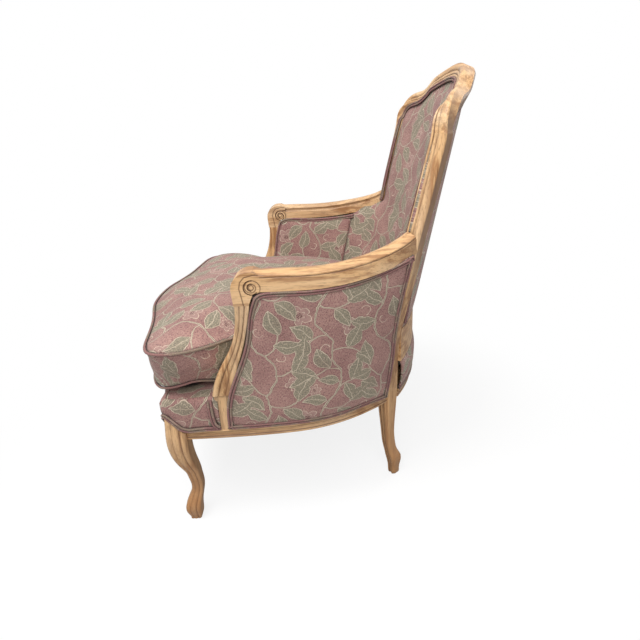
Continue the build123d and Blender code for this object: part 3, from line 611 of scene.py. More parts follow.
# Each leaf is its foot, its direction in degrees, half its length, half its width and its bend.
LEAVES = [
    (13.2, 8.5, -38, 2.3, 1.3, 0.3),
    (10.8, 9.3, 72, 2.4, 1.3, -0.3),
    (9.4, 8.9, -72, 2.2, 1.2, 0.25),
    (2.8, 12.4, 205, 2.6, 1.45, 0.25),
    (5.4, 13.6, 118, 2.4, 1.3, 0.3),
    (12, 16.9, -48, 2.4, 1.3, 0.3),
    (9.8, 18.4, 58, 2.5, 1.4, -0.25),
    (24, 6.5, 62, 2.5, 1.35, 0.25),
    (21.8, 4.8, -48, 2.4, 1.3, 0.3),
    (25.6, 16.6, 72, 2.4, 1.3, -0.25),
    (23.8, 14.2, -22, 2.4, 1.25, 0.25),
    (21.4, 23, 108, 2.4, 1.35, 0.3),
    (20.6, 20, 2, 2.4, 1.3, -0.3),
    (0.8, 19, 246, 2.4, 1.3, 0.3),
    (2.8, 21.6, 142, 2.4, 1.3, -0.25),
    (14.8, 13.4, 104, 2.4, 1.3, 0.3),
    (15.8, 10.4, 192, 2.1, 1.15, 0.25),
    (10, 3.4, 32, 2.5, 1.4, -0.25),
    (7.6, 2.4, -58, 2.3, 1.25, 0.3),
    (15.9, 23.2, 168, 2.4, 1.3, 0.3),
    (7.9, 10, 162, 2.1, 1.1, -0.3),
    (17.4, 1.6, 142, 2.3, 1.2, 0.3),
    (4.8, 5.4, 168, 2.2, 1.2, -0.3),
]
# Each flower is its middle, its reach, its number of petals and its turn.
FLOWERS = [
    (12, 12.6, 2.2, 5, 0.3),
    (24.2, 10.9, 1.9, 6, 1.1),
    (10.6, 23.4, 2.1, 5, 0.2),
    (0.2, 1.2, 2.3, 5, 0.7),
    (14.4, 4.6, 1.8, 6, 0.5),
    (2.2, 8.6, 1.6, 6, 0.2),
]
# Each tendril is the middle of its curl, its radius and its turn in degrees.
TENDRILS = [
    (4.6, 18.6, 1.0, 40), (22, 17.6, 0.9, 200), (18, 23.6, 0.9, 120),
    (13.6, 0.9, 0.9, 300), (22.6, 2.2, 0.8, 30),
]


def stem_arcs(points, half_width):
    """The arcs of a smooth stem: middle, turn, half length, how far each bows and half width."""
    heads = [math.atan2(b[1] - a[1], b[0] - a[0]) for a, b in zip(points[:-1], points[1:])]
    turns = [(b - a + math.pi) % (2 * math.pi) - math.pi for a, b in zip(heads[:-1], heads[1:])]
    if points[0][0] == points[-1][0]:
        ends = [(heads[0] - heads[-1] + math.pi) % (2 * math.pi) - math.pi] * 2
    else:
        ends = [turns[0], turns[-1]]
    turns = [ends[0], *turns, ends[1]]
    arcs = []
    for i, (a, b) in enumerate(zip(points[:-1], points[1:])):
        length = math.dist(a, b)
        bow = -length * (turns[i] + turns[i + 1]) / 16
        arcs.append(((a[0] + b[0]) / 2, (a[1] + b[1]) / 2, heads[i], length / 2, bow, half_width))
    return arcs


LEAF_GROWTH = 1.24  # leaves are drawn this much larger than their table says
LEAF_TAPER = 0.32
OUTSIDE = -9.0  # stands for a place far outside every figure, in cm
WEFT, WARP, TWILL = 0.1, 0.08, 0.13  # from one thread to the next, in cm
PIPING_TUCK_SHADE, COVER_TUCK_SHADE = 0.011, 0.009  # how far shade reaches out of a tuck, in metres


def repeated(n, cloth, x, y, turn, long=1.0, wide=1.0):
    """Place on the cloth as seen from one figure of the repeat, along it and across it."""
    away = n.vector("SUBTRACT", cloth, (x, y, 0.0))
    half = REPEAT / 2
    near = n.vector("WRAP", away, (half, half, 1.0), (-half, -half, -1.0))
    c, s = math.cos(turn), math.sin(turn)
    u = n.dot(near, (c / long, s / long, 0.0))
    v = n.dot(near, (-s / wide, c / wide, 0.0))
    return u, v


def foliage(n, cloth):
    """How far inside a leaf or stem each place is, and how near to a leaf's rib, in cm."""
    inside, rib = OUTSIDE, OUTSIDE
    for foot_x, foot_y, way, long, wide, bend in LEAVES:
        turn = math.radians(way)
        long, wide = LEAF_GROWTH * long, LEAF_GROWTH * wide
        x, y = foot_x + long * math.cos(turn), foot_y + long * math.sin(turn)
        u, v = repeated(n, cloth, x, y, turn, long, wide)
        square = u * u
        side = abs(square.times_plus(bend, v))
        taper = n.most(u.times_plus(-LEAF_TAPER, 1.0), 0.3)
        leaf = ((1.0 - square) * taper - side) * (0.75 * wide)
        inside = n.most(inside, leaf)
        line = side.times_plus(-0.9 * wide, 0.06)
        rib = n.most(rib, n.least(leaf - 0.12, line))
    for points, half_width in STEMS:
        for x, y, turn, long, bow, half in stem_arcs(points, half_width):
            u, v = repeated(n, cloth, x, y, turn, long)
            off = abs(v + (u * u).times_plus(bow, -bow))
            past = abs(u).times_plus(long, -long)
            inside = n.most(inside, half + 0.07 - n.most(off, past))
    return inside, rib


def blossom(n, cloth):
    """Thin drawn lines of flowers and tendrils, the flowers' fill, and their middles."""
    lines, fill, middle = OUTSIDE, OUTSIDE, -OUTSIDE
    for x, y, reach, petals, turn in FLOWERS:
        u, v = repeated(n, cloth, x, y, turn)
        far = n.math("SQRT", u * u + v * v)
        wave = n.math("COSINE", n.math("ARCTAN2", v, u) * (petals / 2))
        petal = abs(wave).times_plus(0.38 * reach, 0.62 * reach) - far
        fill = n.most(fill, petal)
        middle = n.least(middle, n.math("DIVIDE", far, reach))
        for inset, width in ((0.0, 0.055), (0.5 * reach, 0.04)):
            lines = n.most(lines, width - abs(petal - inset))
    for x, y, radius, way in TENDRILS:
        u, v = repeated(n, cloth, x, y, math.radians(way))
        far = n.math("SQRT", u * u + v * v)
        curl = n.most(abs(u.times_plus(-0.25, far) - radius), -0.3 - v)
        lines = n.most(lines, 0.05 - curl)
    return lines, fill, middle


def cloth_place(n):
    """Place on the cloth, in cm."""
    return n.scaled(n.add("UVMap", uv_map="cloth"), 100.0)


def floral(name, look, sheen):
    """Woven cloth: grey-green leaves and outlined flowers on pale vines, over dusty rose."""
    n = material_nodes(name)
    cloth = cloth_place(n)
    wander = n.noise(cloth, 0.33, 3.0, 0.55, "Color")
    drawn = n.vector("ADD", cloth, n.scaled(n.vector("SUBTRACT", wander, (0.5, 0.5, 0.5)), 1.5))
    frayed = (n.noise(cloth, 9.0, 2.0, 0.7) - 0.5) * 0.1
    inside, rib = foliage(n, drawn)
    lines, fill, middle = blossom(n, drawn)
    inside = inside + frayed

    shade = n.noise(cloth, 0.16, 4.0, 0.55)
    ground = n.mix(n.ramp(shade, 0.35, 0.68), (*look.rose, 1), (*look.rose_light, 1))
    # Threads show through as fine flecks and short cream slubs.
    slub = n.threads(cloth, 16.0, 2.2)
    fleck = n.noise(cloth, 11.0, 2.0, 0.7)
    colour = n.tint(ground, n.ramp(fleck, 0.5, 0.68), 0.6, look.rose_dark)
    colour = n.tint(colour, n.ramp(slub, 0.5, 0.68), 0.45, look.cream)
    coarse = n.threads(cloth, 3.4, 2.4, 3.0, 0.75)
    colour = n.tint(colour, n.ramp(coarse, 0.5, 0.62), 0.75, look.rose_dark)
    colour = n.tint(colour, n.ramp(fill, 0.0, 0.1), 0.45, look.petal)
    colour = n.tint(colour, n.ramp(lines, -0.03, 0.01), 0.9, look.cream)
    spots = {"Vector": drawn, "Scale": 3.1, "Randomness": 0.5}
    dots = n.add("TexVoronoi", spots, "Distance", voronoi_dimensions="2D")
    core = 1.0 - n.ramp(middle, 0.24, 0.34)
    colour = n.tint(colour, core, 1.0 - n.ramp(dots, 0.32, 0.42), look.outline)
    # A dark thread lies beside each pale outline.
    colour = n.tint(colour, n.ramp(inside, -0.15, -0.05), 0.75, look.rose_dark)
    colour = n.tint(colour, n.ramp(inside, -0.04, 0.0), 0.85, look.cream)
    hatch = n.threads(cloth, 3.0, 10.0, 3.0)
    leaf = n.mix(n.ramp(hatch, 0.35, 0.65), (*look.sage_dark, 1), (*look.sage, 1))
    leaf = n.tint(leaf, n.ramp(fleck, 0.45, 0.65), 0.55, look.sage_light)
    leaf = n.tint(leaf, n.ramp(coarse, 0.5, 0.6), 0.85, look.sage_dark)
    leaf = n.tint(leaf, 1.0 - n.ramp(coarse, 0.34, 0.46), 0.62, look.cream)
    colour = n.mix(n.ramp(inside, 0.06, 0.11), colour, leaf)
    colour = n.tint(colour, n.ramp(rib, -0.03, 0.01), 0.6, look.cream)
    grime = n.noise(cloth, 0.07, 4.0, 0.65)
    colour = n.tint(colour, n.ramp(grime, 0.48, 0.72), 0.35, look.rose_dark)
    # Painted shade darkens the cloth where it is tucked against piping or wood.
    tucked = n.hollow(COVER_TUCK_SHADE, 6)
    colour = n.tint(colour, 1.0 - n.ramp(tucked, 0.4, 1.0), 0.9, look.tuck)

    across = n.add("SeparateXYZ", {"Vector": cloth})
    weft = n.math("SINE", across.other("Y") * (2 * math.pi / WEFT))
    warp = n.math("SINE", across * (2 * math.pi / WARP))
    raised = n.ramp(inside, -0.05, 0.1) * 0.8
    height = weft * 0.3 + warp * 0.2 + raised + slub * 0.7
    return n.close(n.finish(colour, 0.62, (0.55, 0.0008, height), 0.3, (sheen, 0.4)))


def piping_cloth(name, look):
    """The same cloth cut on the cross over cords, where only patches of its colours show."""
    n = material_nodes(name)
    cloth = cloth_place(n)
    patch = n.threads(cloth, 0.22, 0.5, 2.0, 0.5)
    colour = n.mix(n.ramp(patch, 0.44, 0.62), (*look.rose, 1), (*look.sage, 1))
    colour = n.tint(colour, 1.0 - n.ramp(abs(patch - 0.53), 0.004, 0.02), 0.35, look.cream)
    fleck = n.noise(cloth, 9.0, 2.0, 0.7)
    colour = n.tint(colour, n.ramp(fleck, 0.36, 0.62), 0.88, look.rose_dark)
    slub = n.threads(cloth, 3.0, 12.0)
    colour = n.tint(colour, n.ramp(slub, 0.55, 0.75), 0.3, look.cream)
    # Painted shade darkens the piping where it is tucked against other surfaces.
    tucked = n.hollow(PIPING_TUCK_SHADE, 6)
    colour = n.tint(colour, 1.0 - n.ramp(tucked, 0.38, 1.0), 0.95, look.tuck)
    across = n.add("SeparateXYZ", {"Vector": cloth})
    twill = n.math("SINE", (across + across.other("Y")) * (2 * math.pi / TWILL))
    bump = (0.4, 0.0006, twill * 0.3 + slub * 0.6)
    return n.close(n.finish(colour, 0.75, bump, 0.3, (0.08, 0.45)))


# Carved lines of an arm's scroll, seen from the side: y and z along each, in mm.
SCROLL_EYE = (-87.0, 595.0)
SCROLL_REACH = 17.0
SCROLL_TURN = 0.67  # how fast the scroll winds in: its radius falls by e to this power each turn
SCROLL_BUTTON = 4.6
SCROLL_LEAF = [
    (-104, 556), (-107.5, 580), (-110, 594), (-107, 607), (-99, 616),
    (-84, 620), (-64, 620), (-50, 622), (-43, 628),
]
# Heights of the two grooves along the seat rails, in mm.
RAIL_LINES = (238.7, 249.1)


def scroll_lines(n, place_in):
    """How deep the scroll, its button and the leaf that runs back from it cut each place."""
    spot = n.vector("MULTIPLY_ADD", place_in, (0.0, 1000.0, 1000.0), (0.0, MIDDLE_Y, 0.0))
    away = n.vector("SUBTRACT", spot, (0.0, *SCROLL_EYE))
    far = n.vector("LENGTH", away)
    y = n.dot(away, (0.0, 1.0, 0.0))
    z = n.dot(away, (0.0, 0.0, 1.0))
    angle = n.math("DIVIDE", n.math("ARCTAN2", z, y), 2 * math.pi)
    start_turn = math.log(SCROLL_REACH) / SCROLL_TURN
    wound = n.math("LOGARITHM", far, math.e).times_plus(-1 / SCROLL_TURN, start_turn)
    gap = abs(n.math("WRAP", wound - angle, 0.5, -0.5)) * far * SCROLL_TURN
    nearest = n.most(gap, n.most(far - SCROLL_REACH, SCROLL_BUTTON - far))
    nearest = n.least(nearest, abs(far - SCROLL_BUTTON))
    for a, b in zip(SCROLL_LEAF[:-1], SCROLL_LEAF[1:]):
        run = (0.0, b[0] - a[0], b[1] - a[1])
        start = n.vector("SUBTRACT", spot, (0.0, *a))
        share = n.math("MULTIPLY", n.dot(start, run), 1 / (run[1] ** 2 + run[2] ** 2), clamp=True)
        off_run = n.vector("SUBTRACT", start, n.scaled(run, share))
        nearest = n.least(nearest, n.vector("LENGTH", off_run))
    facing = n.dot(n.add("NewGeometry", output="Normal"), (1.0, 0.0, 0.0))
    side = n.ramp(abs(facing), 0.45, 0.7)
    return (1.0 - n.ramp(nearest, 0.3, 1.9)) * side


def carved_wood(name, look, grain, scroll=False, rail=False):
    """Honey-washed wood with brown glaze in the carving. grain is the direction of its fibres."""
    n = material_nodes(name)
    place_in = n.add("TexCoord", output="Object")
    stretch = np.array([90.0 if axis != grain else 7.0 for axis in "xyz"])

    def fibres(finer, detail, rough):
        drawn_out = n.vector("MULTIPLY", place_in, tuple(stretch * finer))
        return n.noise(drawn_out, 1.0, detail, rough)

    streak = fibres(1.0, 5.0, 0.62)
    broad = fibres(0.22, 3.0, 0.5)
    colour = n.mix(n.ramp(streak, 0.41, 0.58), (*look.wood_deep, 1), (*look.wood, 1))
    colour = n.tint(colour, n.ramp(broad, 0.42, 0.68), 0.6, look.wood_pale)
    pores = fibres(6.0, 2.0, 0.5)
    colour = n.tint(colour, n.ramp(pores, 0.55, 0.7), 0.45, look.wood_glaze)
    # Painted shade makes the wood that faces the back of the frame plainer and darker, most of all
    # high up.
    normal = n.add("NewGeometry", output="Normal")
    height_in = n.dot(place_in, (0.0, 0.0, 1.0))
    rear = n.ramp(n.dot(normal, (0.0, 1.0, 0.0)), 0.25, 0.6)
    colour = n.tint(colour, rear, n.ramp(height_in, 0.5, 0.7) * 0.6 + 0.25, look.wood_back)
    # Lower down the legs the wood darkens: partly a deeper stain, partly painted shade.
    colour = n.tint(colour, 1.0 - n.ramp(height_in, 0.06, 0.32), 0.8, look.wood_deep)
    # Glaze gathers in hollows and wears off the edges.
    hollow = n.hollow(look.glaze_reach * MM, 8, inside=True)
    depth = n.math("POWER", 1.0 - n.ramp(hollow, 0.5, 0.99), 0.62)
    patchy = n.ramp(n.noise(place_in, 38.0, 4.0, 0.6), 0.3, 0.6)
    colour = n.tint(colour, depth * (patchy * 0.3 + 0.75), 0.92, look.wood_glaze)
    wear = n.noise(place_in, 60.0, 5.0, 0.7)
    colour = n.tint(colour, n.ramp(wear, 0.6, 0.72), 0.4, look.wood_deep)
    height = streak * 0.6 + wear * 0.4
    if rail:
        for z in RAIL_LINES:
            line = 1.0 - n.ramp(abs(height_in.times_plus(1000.0, -z)), 0.5, 1.7)
            colour = n.tint(colour, line, 0.75, look.wood_glaze)
            height = height - line
    if scroll:
        cut = scroll_lines(n, place_in)
        colour = n.tint(colour, cut, 0.75, look.wood_glaze)
        height = height - cut * 2.5
    return n.close(n.finish(colour, streak * 0.2 + 0.36, (0.35, 0.001, height), 0.4))


def plain_finish(name, colour, rough, scale, metallic=0.0, vary=0.25):
    """A plain finish with some mottling."""
    n = material_nodes(name)
    mottle = n.noise(n.add("TexCoord", output="Object"), scale, 4.0, 0.6)
    dark = tuple(c * (1 - vary) for c in colour)
    mottled = n.mix(mottle, (*dark, 1), (*colour, 1))
    bump = (0.2, 0.0005, mottle)
    return n.close(n.finish(mottled, mottle * 0.2 + rough, bump, metallic=metallic))


# --- Sizes and colours that a user would change ---


def colour_property(name, description, default):
    settings = {"subtype": "COLOR", "size": 3, "min": 0, "max": 1, "default": default}
    return FloatVectorProperty(name=name, description=description, **settings)


def size_property(name, description, default, least=0.0):
    """A size in mm."""
    text = description + ", in mm"
    return FloatProperty(name=name, description=text, default=default, min=least)


class BergereLook(bpy.types.PropertyGroup):
    rose: colour_property("Rose ground", "Ground of the cloth", (0.34, 0.17, 0.155))
    rose_light: colour_property("Pale rose", "Faded ground of the cloth", (0.45, 0.25, 0.215))
    rose_dark: colour_property("Dark rose", "Dark threads of the ground", (0.14, 0.062, 0.058))
    sage: colour_property("Sage", "Leaves of the cloth", (0.315, 0.27, 0.185))
    sage_light: colour_property("Pale sage", "Light threads in the leaves", (0.45, 0.39, 0.29))
    sage_dark: colour_property("Dark sage", "Dark threads in the leaves", (0.19, 0.165, 0.12))
    cream: colour_property("Cream", "Outlines and stems of the cloth", (0.72, 0.60, 0.46))
    petal: colour_property("Petal", "Flowers of the cloth", (0.47, 0.31, 0.265))
    tuck: colour_property("Tucks", "Shade where the cloth is tucked in", (0.035, 0.018, 0.018))
    outline: colour_property("Stamens", "Dark dots in the flowers", (0.10, 0.035, 0.03))
    wood: colour_property("Honey", "Wash on the wood", (0.66, 0.40, 0.19))
    wood_pale: colour_property("Pale wood", "Where the wash is thin", (0.80, 0.58, 0.36))
    # Deep honey is also laid over the lower legs, partly as a deeper stain and partly as painted
    # shade.
    wood_deep: colour_property("Deep honey", "Grain under the wash", (0.36, 0.175, 0.07))
    wood_glaze: colour_property("Glaze", "Brown glaze in the carving", (0.105, 0.046, 0.020))
    # The back stain is painted shade on the wood that faces the back of the frame.
    wood_back: colour_property("Back stain", "Stain on the back of the frame", (0.20, 0.12, 0.078))
    glaze_reach: size_property("Glaze reach", "Width of hollow that holds glaze", 9.0, 0.5)


class BergereSizes(bpy.types.PropertyGroup):
    arm_crown: size_property("Arm panel crown", "Fullness of the arm panels", 6.0)
    back_crown: size_property("Back crown", "Fullness of the inside back", 8.0)
    welt: size_property("Double piping", "Radius of each cord of the double piping", 2.8, 0.5)
    cushion_cord: size_property("Cushion piping", "Radius of the cushion's piping", 3.0, 0.5)
    cushion_puff: size_property("Cushion fullness", "Most that the cushion swells", 9.0)


MATERIALS = {}


def material(name):
    """A finish, made when first asked for."""
    look = bpy.context.scene.bergere_look
    if name not in MATERIALS:
        if name == "floral_tapestry":
            finish = floral(name, look, 0.1)
        elif name == "double_welt":
            finish = piping_cloth(name, look)
        elif name.startswith("carved_wood"):
            finish = carved_wood(name, look, name[-1], "scroll" in name, "rail" in name)
        elif name == "plain_beech":
            finish = plain_finish(name, (0.55, 0.38, 0.22), 0.6, 40.0)
        elif name == "spring_steel":
            finish = plain_finish(name, (0.42, 0.42, 0.42), 0.3, 90.0, metallic=1.0)
        else:
            finish = plain_finish(name, (0.025, 0.025, 0.025), 0.85, 300.0)
        MATERIALS[name] = finish
    return MATERIALS[name]


# --- The frame ---
GRAIN = {
    "front_leg": "z",
    "back_stile": "z",
    "arm_support": "z",
    "arm_rail": "y",
    "side_seat_rail": "y",
    "front_seat_rail": "x",
    "back_seat_rail": "x",
    "back_cross_rail": "x",
    "crest_rail": "x",
}


class BERGERE_OT_frame(bpy.types.Operator):
    """Give the wooden frame, springs and dowels their finishes"""

    bl_idname = "bergere.frame"
    bl_label = "Frame finishes"

    def execute(self, context):
        for node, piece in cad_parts.items():
            stem = node.replace("_left", "").replace("_right", "")
            if stem in GRAIN:
                kind = "rail_" if stem.endswith("seat_rail") else ""
                kind = "scroll_" if stem == "arm_rail" else kind
                finish = material("carved_wood_" + kind + GRAIN[stem])
            elif node == "seat_springs":
                finish = material("spring_steel")
            elif node in ("corner_blocks", "frame_dowels") or stem == "arm_liner":
                finish = material("plain_beech")
            else:
                continue
            for slot in piece.material_slots:
                slot.material = finish
        return {"FINISHED"}


# --- Arms ---
OUTER_WALL = wall(PANEL_LOW, PANEL_HIGH, SHOW_TOP, ARM_TOP)
INNER_WALL = wall(PAD_LOW, PAD_HIGH, DECK_TOP, ARM_TOP)


def panel_mesh(name, grid, surface, side, full, thickness):
    """A stuffed panel over a grid of (y, z) places. side is 1 outside an arm and -1 inside it."""
    rows, cloth = [], []
    count_v, count_u = grid.shape[:2]
    for j in range(count_v):
        normals = surface_normals(surface, grid[j])
        normals *= np.sign(normals[:, :1]) * side
        row = []
        for i in range(count_u):
            puff = full * crown(i / (count_u - 1), j / (count_v - 1))
            row.append(np.array(surface(*grid[j, i])) + normals[i] * puff)
        run = run_along(np.array(row)[:, :2])
        rows.append(row)
        cloth.append(np.column_stack([grid[j, 0, 0] + run, grid[j, :, 1]]))
    return grid_piece(name, rows, cloth, thickness, flip=side < 0)


def edge_welt(name, places, surface, side, radius, inset, closed):
    """Double piping on a panel's surface along a line of (y, z) places, drawn in by an inset."""
    line = np.array(places, float)
    moved = line + inset * turned(run_directions(line, closed))
    normals = surface_normals(surface, moved)
    normals *= np.sign(normals[:, :1]) * side
    points = np.array([surface(y, z) for y, z in moved])
    return double_piping(name, points, normals, radius, 0.6, closed)


class BERGERE_OT_arm_covers(bpy.types.Operator):
    """Make the stuffed panels and the double piping of both arms"""

    bl_idname = "bergere.arm_covers"
    bl_label = "Arm covers"

    def execute(self, context):
        sizes = context.scene.bergere_sizes
        radius = sizes.welt
        inset = 2 * radius + 0.4
        grid = coons(PANEL_BOTTOM, PANEL_TOP, PANEL_FRONT, PANEL_REAR, 56, 48)
        outer = panel_mesh("outer_arm_panel_left", grid, OUTER_WALL, 1, sizes.arm_crown, ARM_THICK)
        edges = [smooth(line, 60) for line in (PANEL_FRONT, PANEL_TOP, PANEL_REAR, PANEL_BOTTOM)]
        edges[2:] = [line[::-1] for line in edges[2:]]
        ring = np.concatenate([line[:-1] for line in edges])
        outer_welt = edge_welt("outer_arm_piping_left", ring, OUTER_WALL, 1, radius, inset, True)

        grid = coons(PAD_BOTTOM, PAD_TOP, PAD_FRONT, PAD_SEAM, 44, 40)
        full = sizes.arm_crown + 2
        inner = panel_mesh("inner_arm_panel_left", grid, INNER_WALL, -1, full, ARM_PAD_THICK)
        run = np.concatenate([smooth(PAD_FRONT[2:], 50)[:-1], smooth(PAD_TOP, 60)])
        inner_welt = edge_welt("inner_arm_piping_left", run, INNER_WALL, -1, radius, inset, False)

        for piece, node in (
            (outer, "outer_arm_cover"),
            (outer_welt, "outer_arm_welt"),
            (inner, "inner_arm_pad"),
            (inner_welt, "inner_arm_welt"),
        ):
            other = mirrored(piece, piece.name.replace("_left", "_right"))
            for half, side in ((piece, "_left"), (other, "_right")):
                if "welt" in node:
                    finish_piping(half, node + side)
                else:
                    finish_cover(half, node + side)
        return {"FINISHED"}


# --- Back ---


def frame_x(z):
    """Centre line of the back frame's side, which stays upright above the shoulders."""
    line = smooth(STILE, 120)
    return float(np.interp(min(z, 872), line[:, 0], line[:, 1]))


def crest_inner(offset, count):
    """The crest's lower edge from the middle to the shoulder, drawn in from its centre line."""
    line = smooth([*CREST, (-40, 992)], 260)
    inner = line - offset * turned(unit(np.gradient(line, axis=0)))
    inner = inner[inner[:, 0] >= 0]
    return even(inner[::-1], count)


def along_x(line, x, k):
    """Measure k of a line at a distance x from the middle."""
    return float(np.interp(x, line[:, 0], line[:, k]))


SIDE_INDEX = 61  # a plan line's end under the arm is looked for from this point of it on


class BackSurface:
    """Inside face of the back: bowed plan lines that lean from the deck up to the crest."""

    def __init__(self):
        self.low, self.mid = smooth(BACK_LOW, 160), smooth(BACK_MID, 160)
        top = [(x, back_y(x, BACK_TOP_Z) - 16) for x in (0, 60, 115, 160, 204, 240)]
        self.top = smooth([*top, (262, top[-1][1] - 22), (276, top[-1][1] - 48)], 160)

    def line(self, z):
        if z <= BACK_MID_Z:
            return between(self.low, self.mid, (z - DECK_TOP) / (BACK_MID_Z - DECK_TOP))
        return between(self.mid, self.top, (z - BACK_MID_Z) / (BACK_TOP_Z - BACK_MID_Z))

    def index(self, x, z):
        """Index on a plan line at a distance x from the middle."""
        line = self.line(z)
        return float(np.interp(x, line[:, 0], np.arange(len(line))))

    def at(self, k, z):
        """The x and y at an index on a plan line."""
        line = self.line(z)
        return [float(np.interp(k, np.arange(len(line)), line[:, c])) for c in (0, 1)]

    def end(self, z):
        """Index on a plan line where the inside back stops: at the seam, the arm or the stile."""
        line = self.line(z)
        if z <= SEAM_TOP_Z:
            return float(len(line) - 1)
        if z < STILE_FOOT_Z:
            share = (z - SEAM_TOP_Z) / (STILE_FOOT_Z - SEAM_TOP_Z)
            stile_y = line[np.searchsorted(line[:, 0], frame_x(STILE_FOOT_Z) - 8), 1]
            off = abs(line[:, 1] - between(SEAM_TOP_Y, stile_y, share))
            return float(SIDE_INDEX + np.argmin(off[SIDE_INDEX:]))
        return self.index(frame_x(z) - BACK_INSET, z)


def drawn_in(u, z):
    """How far the inside back is drawn in behind the frame's moulding at its sides, in mm."""
    return DRAWN_IN * clamped((u - 0.7) / 0.3) ** 2 * clamped((z - 600) / 60)


def leaning(points, bow, sideways, upright):
    """Directions that a bowed back faces at some points. sideways is -1 inside and 1 outside."""
    facing = [Vector((sideways * point[0] / bow, sideways, upright)) for point in points]
    return np.array([direction.normalized() for direction in facing])


def cut_across(row, at, stretch):
    """Places on the cloth of a row of points that runs across the back."""
    return [(p[0] * stretch + at, p[2]) for p in row]


def up_and_over(side, crest, widest, count, ring):
    """A smooth path up one stile and over the crest to the middle, then its mirror image."""
    over = [point for point in crest[::-1] if point[2] >= CREST_FOOT_Z and 0 <= point[0] <= widest]
    return both_sides(smooth(even([*side, *over], count), ring))


class BERGERE_OT_back_covers(bpy.types.Operator):
    """Make the stuffed inside back, the outside back and their piping"""

    bl_idname = "bergere.back_covers"
    bl_label = "Back covers"

    def execute(self, context):
        sizes = context.scene.bergere_sizes
        self.inside(sizes.back_crown, sizes.welt)
        self.outside(sizes.welt)
        return {"FINISHED"}

    def inside(self, fullness, radius):
        back = BackSurface()
        half = 34
        turn_z, top_z = 655, 1000
        heights = [np.linspace(PAD_FOOT, 596, 28)[:-1], np.linspace(596, turn_z, 14)[:-1]]
        heights = np.concatenate([*heights, np.linspace(turn_z, top_z, 40)])
        inner_edge = crest_inner(INSIDE_CREST, 200)
        rows, cloth = [], []
        for row_z in heights:
            row = []
            for i in range(-half, half + 1):
                u = abs(i) / half
                top = along_x(inner_edge, u * INSIDE_WIDTH, 1)
                share = (row_z - PAD_FOOT) / (top_z - PAD_FOOT)
                z = row_z
                if row_z >= turn_z:
                    z = turn_z + (top - turn_z) * (row_z - turn_z) / (top_z - turn_z)
                x, y = back.at(u * back.end(z), z)
                edge = crown(0.5 + 0.5 * min(1.0, 1.075 * u), min(1.04 * share, 0.999), 0.1)
                out = Vector((-x / 300, -1.0, 0.12)).normalized()
                point = Vector((x, y, z)) + out * (fullness * edge - drawn_in(u, z))
                row.append(np.array([point[0] if i >= 0 else -point[0], point[1], point[2]]))
            run = run_along(np.array(row)[:, :2])
            rows.append(row)
            at, stretch = INSIDE_CLOTH
            cloth.append([(r - run[half] + at, p[2] * stretch) for r, p in zip(run, row)])
        inside = grid_piece("inside_back", rows, cloth, BACK_PAD_THICK)
        # Piping from one arm up the stile, over the crest and down to the other arm.
        side = []
        for z in np.linspace(648, 880, 60):
            x, y = back.at(back.index(frame_x(z) - BACK_INSET - 1.6 * radius, z), z)
            side.append([x, y + drawn_in(0.945, z), z])
        crest = []
        for x, z in crest_inner(INSIDE_CREST + 2.0 * radius, 90):
            crest.append([x, along_x(back.line(z), x, 1) + drawn_in(x / INSIDE_WIDTH, z), z])
        full = up_and_over(side, crest, 236, 60, 150)
        normals = leaning(full, 330, -1.0, 0.15)
        strip = double_piping("inside_back_piping", full, normals, radius, 1.8)
        finish_cover(inside, "inner_back_pad")
        finish_piping(strip, "inner_back_welt")

    def outside(self, radius):
        half = 30
        low = smooth(OUTSIDE_LOW, 120)
        foot_z = OUTSIDE_LOW_Z + 0.5
        edge = crest_inner(OUTSIDE_CREST, 200)

        def face_y(x, z):
            low_y = along_x(low, x, 1)
            lean = (back_y(x, BACK_TOP_Z) - low_y) * (z - OUTSIDE_LOW_Z)
            return low_y + lean / (BACK_TOP_Z - OUTSIDE_LOW_Z) + 5

        rows, cloth = [], []
        for share in np.linspace(0, 1, 44):
            row = []
            for i in range(-half, half + 1):
                u = abs(i) / half
                z = foot_z + (along_x(edge, u * OUTSIDE_WIDTH, 1) - foot_z) * share
                x = u * (frame_x(z) - 12)
                y = face_y(x, z) + 2.0 * crown(0.5 + 0.5 * u, share, 0.14)
                row.append(np.array([x if i >= 0 else -x, y, z]))
            rows.append(row)
            cloth.append(cut_across(row, *OUTSIDE_CLOTH))
        outside = grid_piece("outside_back", rows, cloth, BACK_THICK, flip=True)
        band, high = smooth(BAND_LOW, 60), smooth(BAND_HIGH, 60)
        rows, cloth = [], []
        for share in np.linspace(0, 1, 14):
            line, z = between(band, high, share), SHOW_TOP + 0.5 + BAND_HEIGHT * share
            row = both_sides(np.array([[x, y + 7.0 * crown(0.5, share, 0.4), z] for x, y in line]))
            rows.append(row)
            cloth.append(cut_across(row, *BAND_CLOTH))
        lower = grid_piece("lower_back", rows, cloth, BACK_THICK, flip=True)
        # Piping round the outside back and along the foot of the lower band.
        side = [(frame_x(z) - 13 - 2 * radius, z) for z in np.linspace(446, 880, 80)]
        crest = crest_inner(OUTSIDE_CREST + 1 + 2 * radius, 90)
        side, crest = [[[x, face_y(x, z), z] for x, z in line] for line in (side, crest)]
        full = up_and_over(side, crest, 232, 70, 160)
        normals = leaning(full, 330, 1.0, -0.15)
        strip = double_piping("outside_back_piping", full, normals, radius, 0.6)
        foot = both_sides(np.array([[x, y, SHOW_TOP + 6.5] for x, y in between(band, high, 0.07)]))
        normals = leaning(foot, 300, 1.0, 0)
        low_strip = double_piping("lower_back_piping", foot, normals, radius, 1.0)
        finish_cover(outside, "outer_back_cover")
        finish_cover(lower, "lower_back_cover")
        finish_piping(strip, "outer_back_welt")
        finish_piping(low_strip, "lower_back_welt")


# --- Seat deck ---


KNEE_TOP = 300  # how high the legs' knees rise into the cover
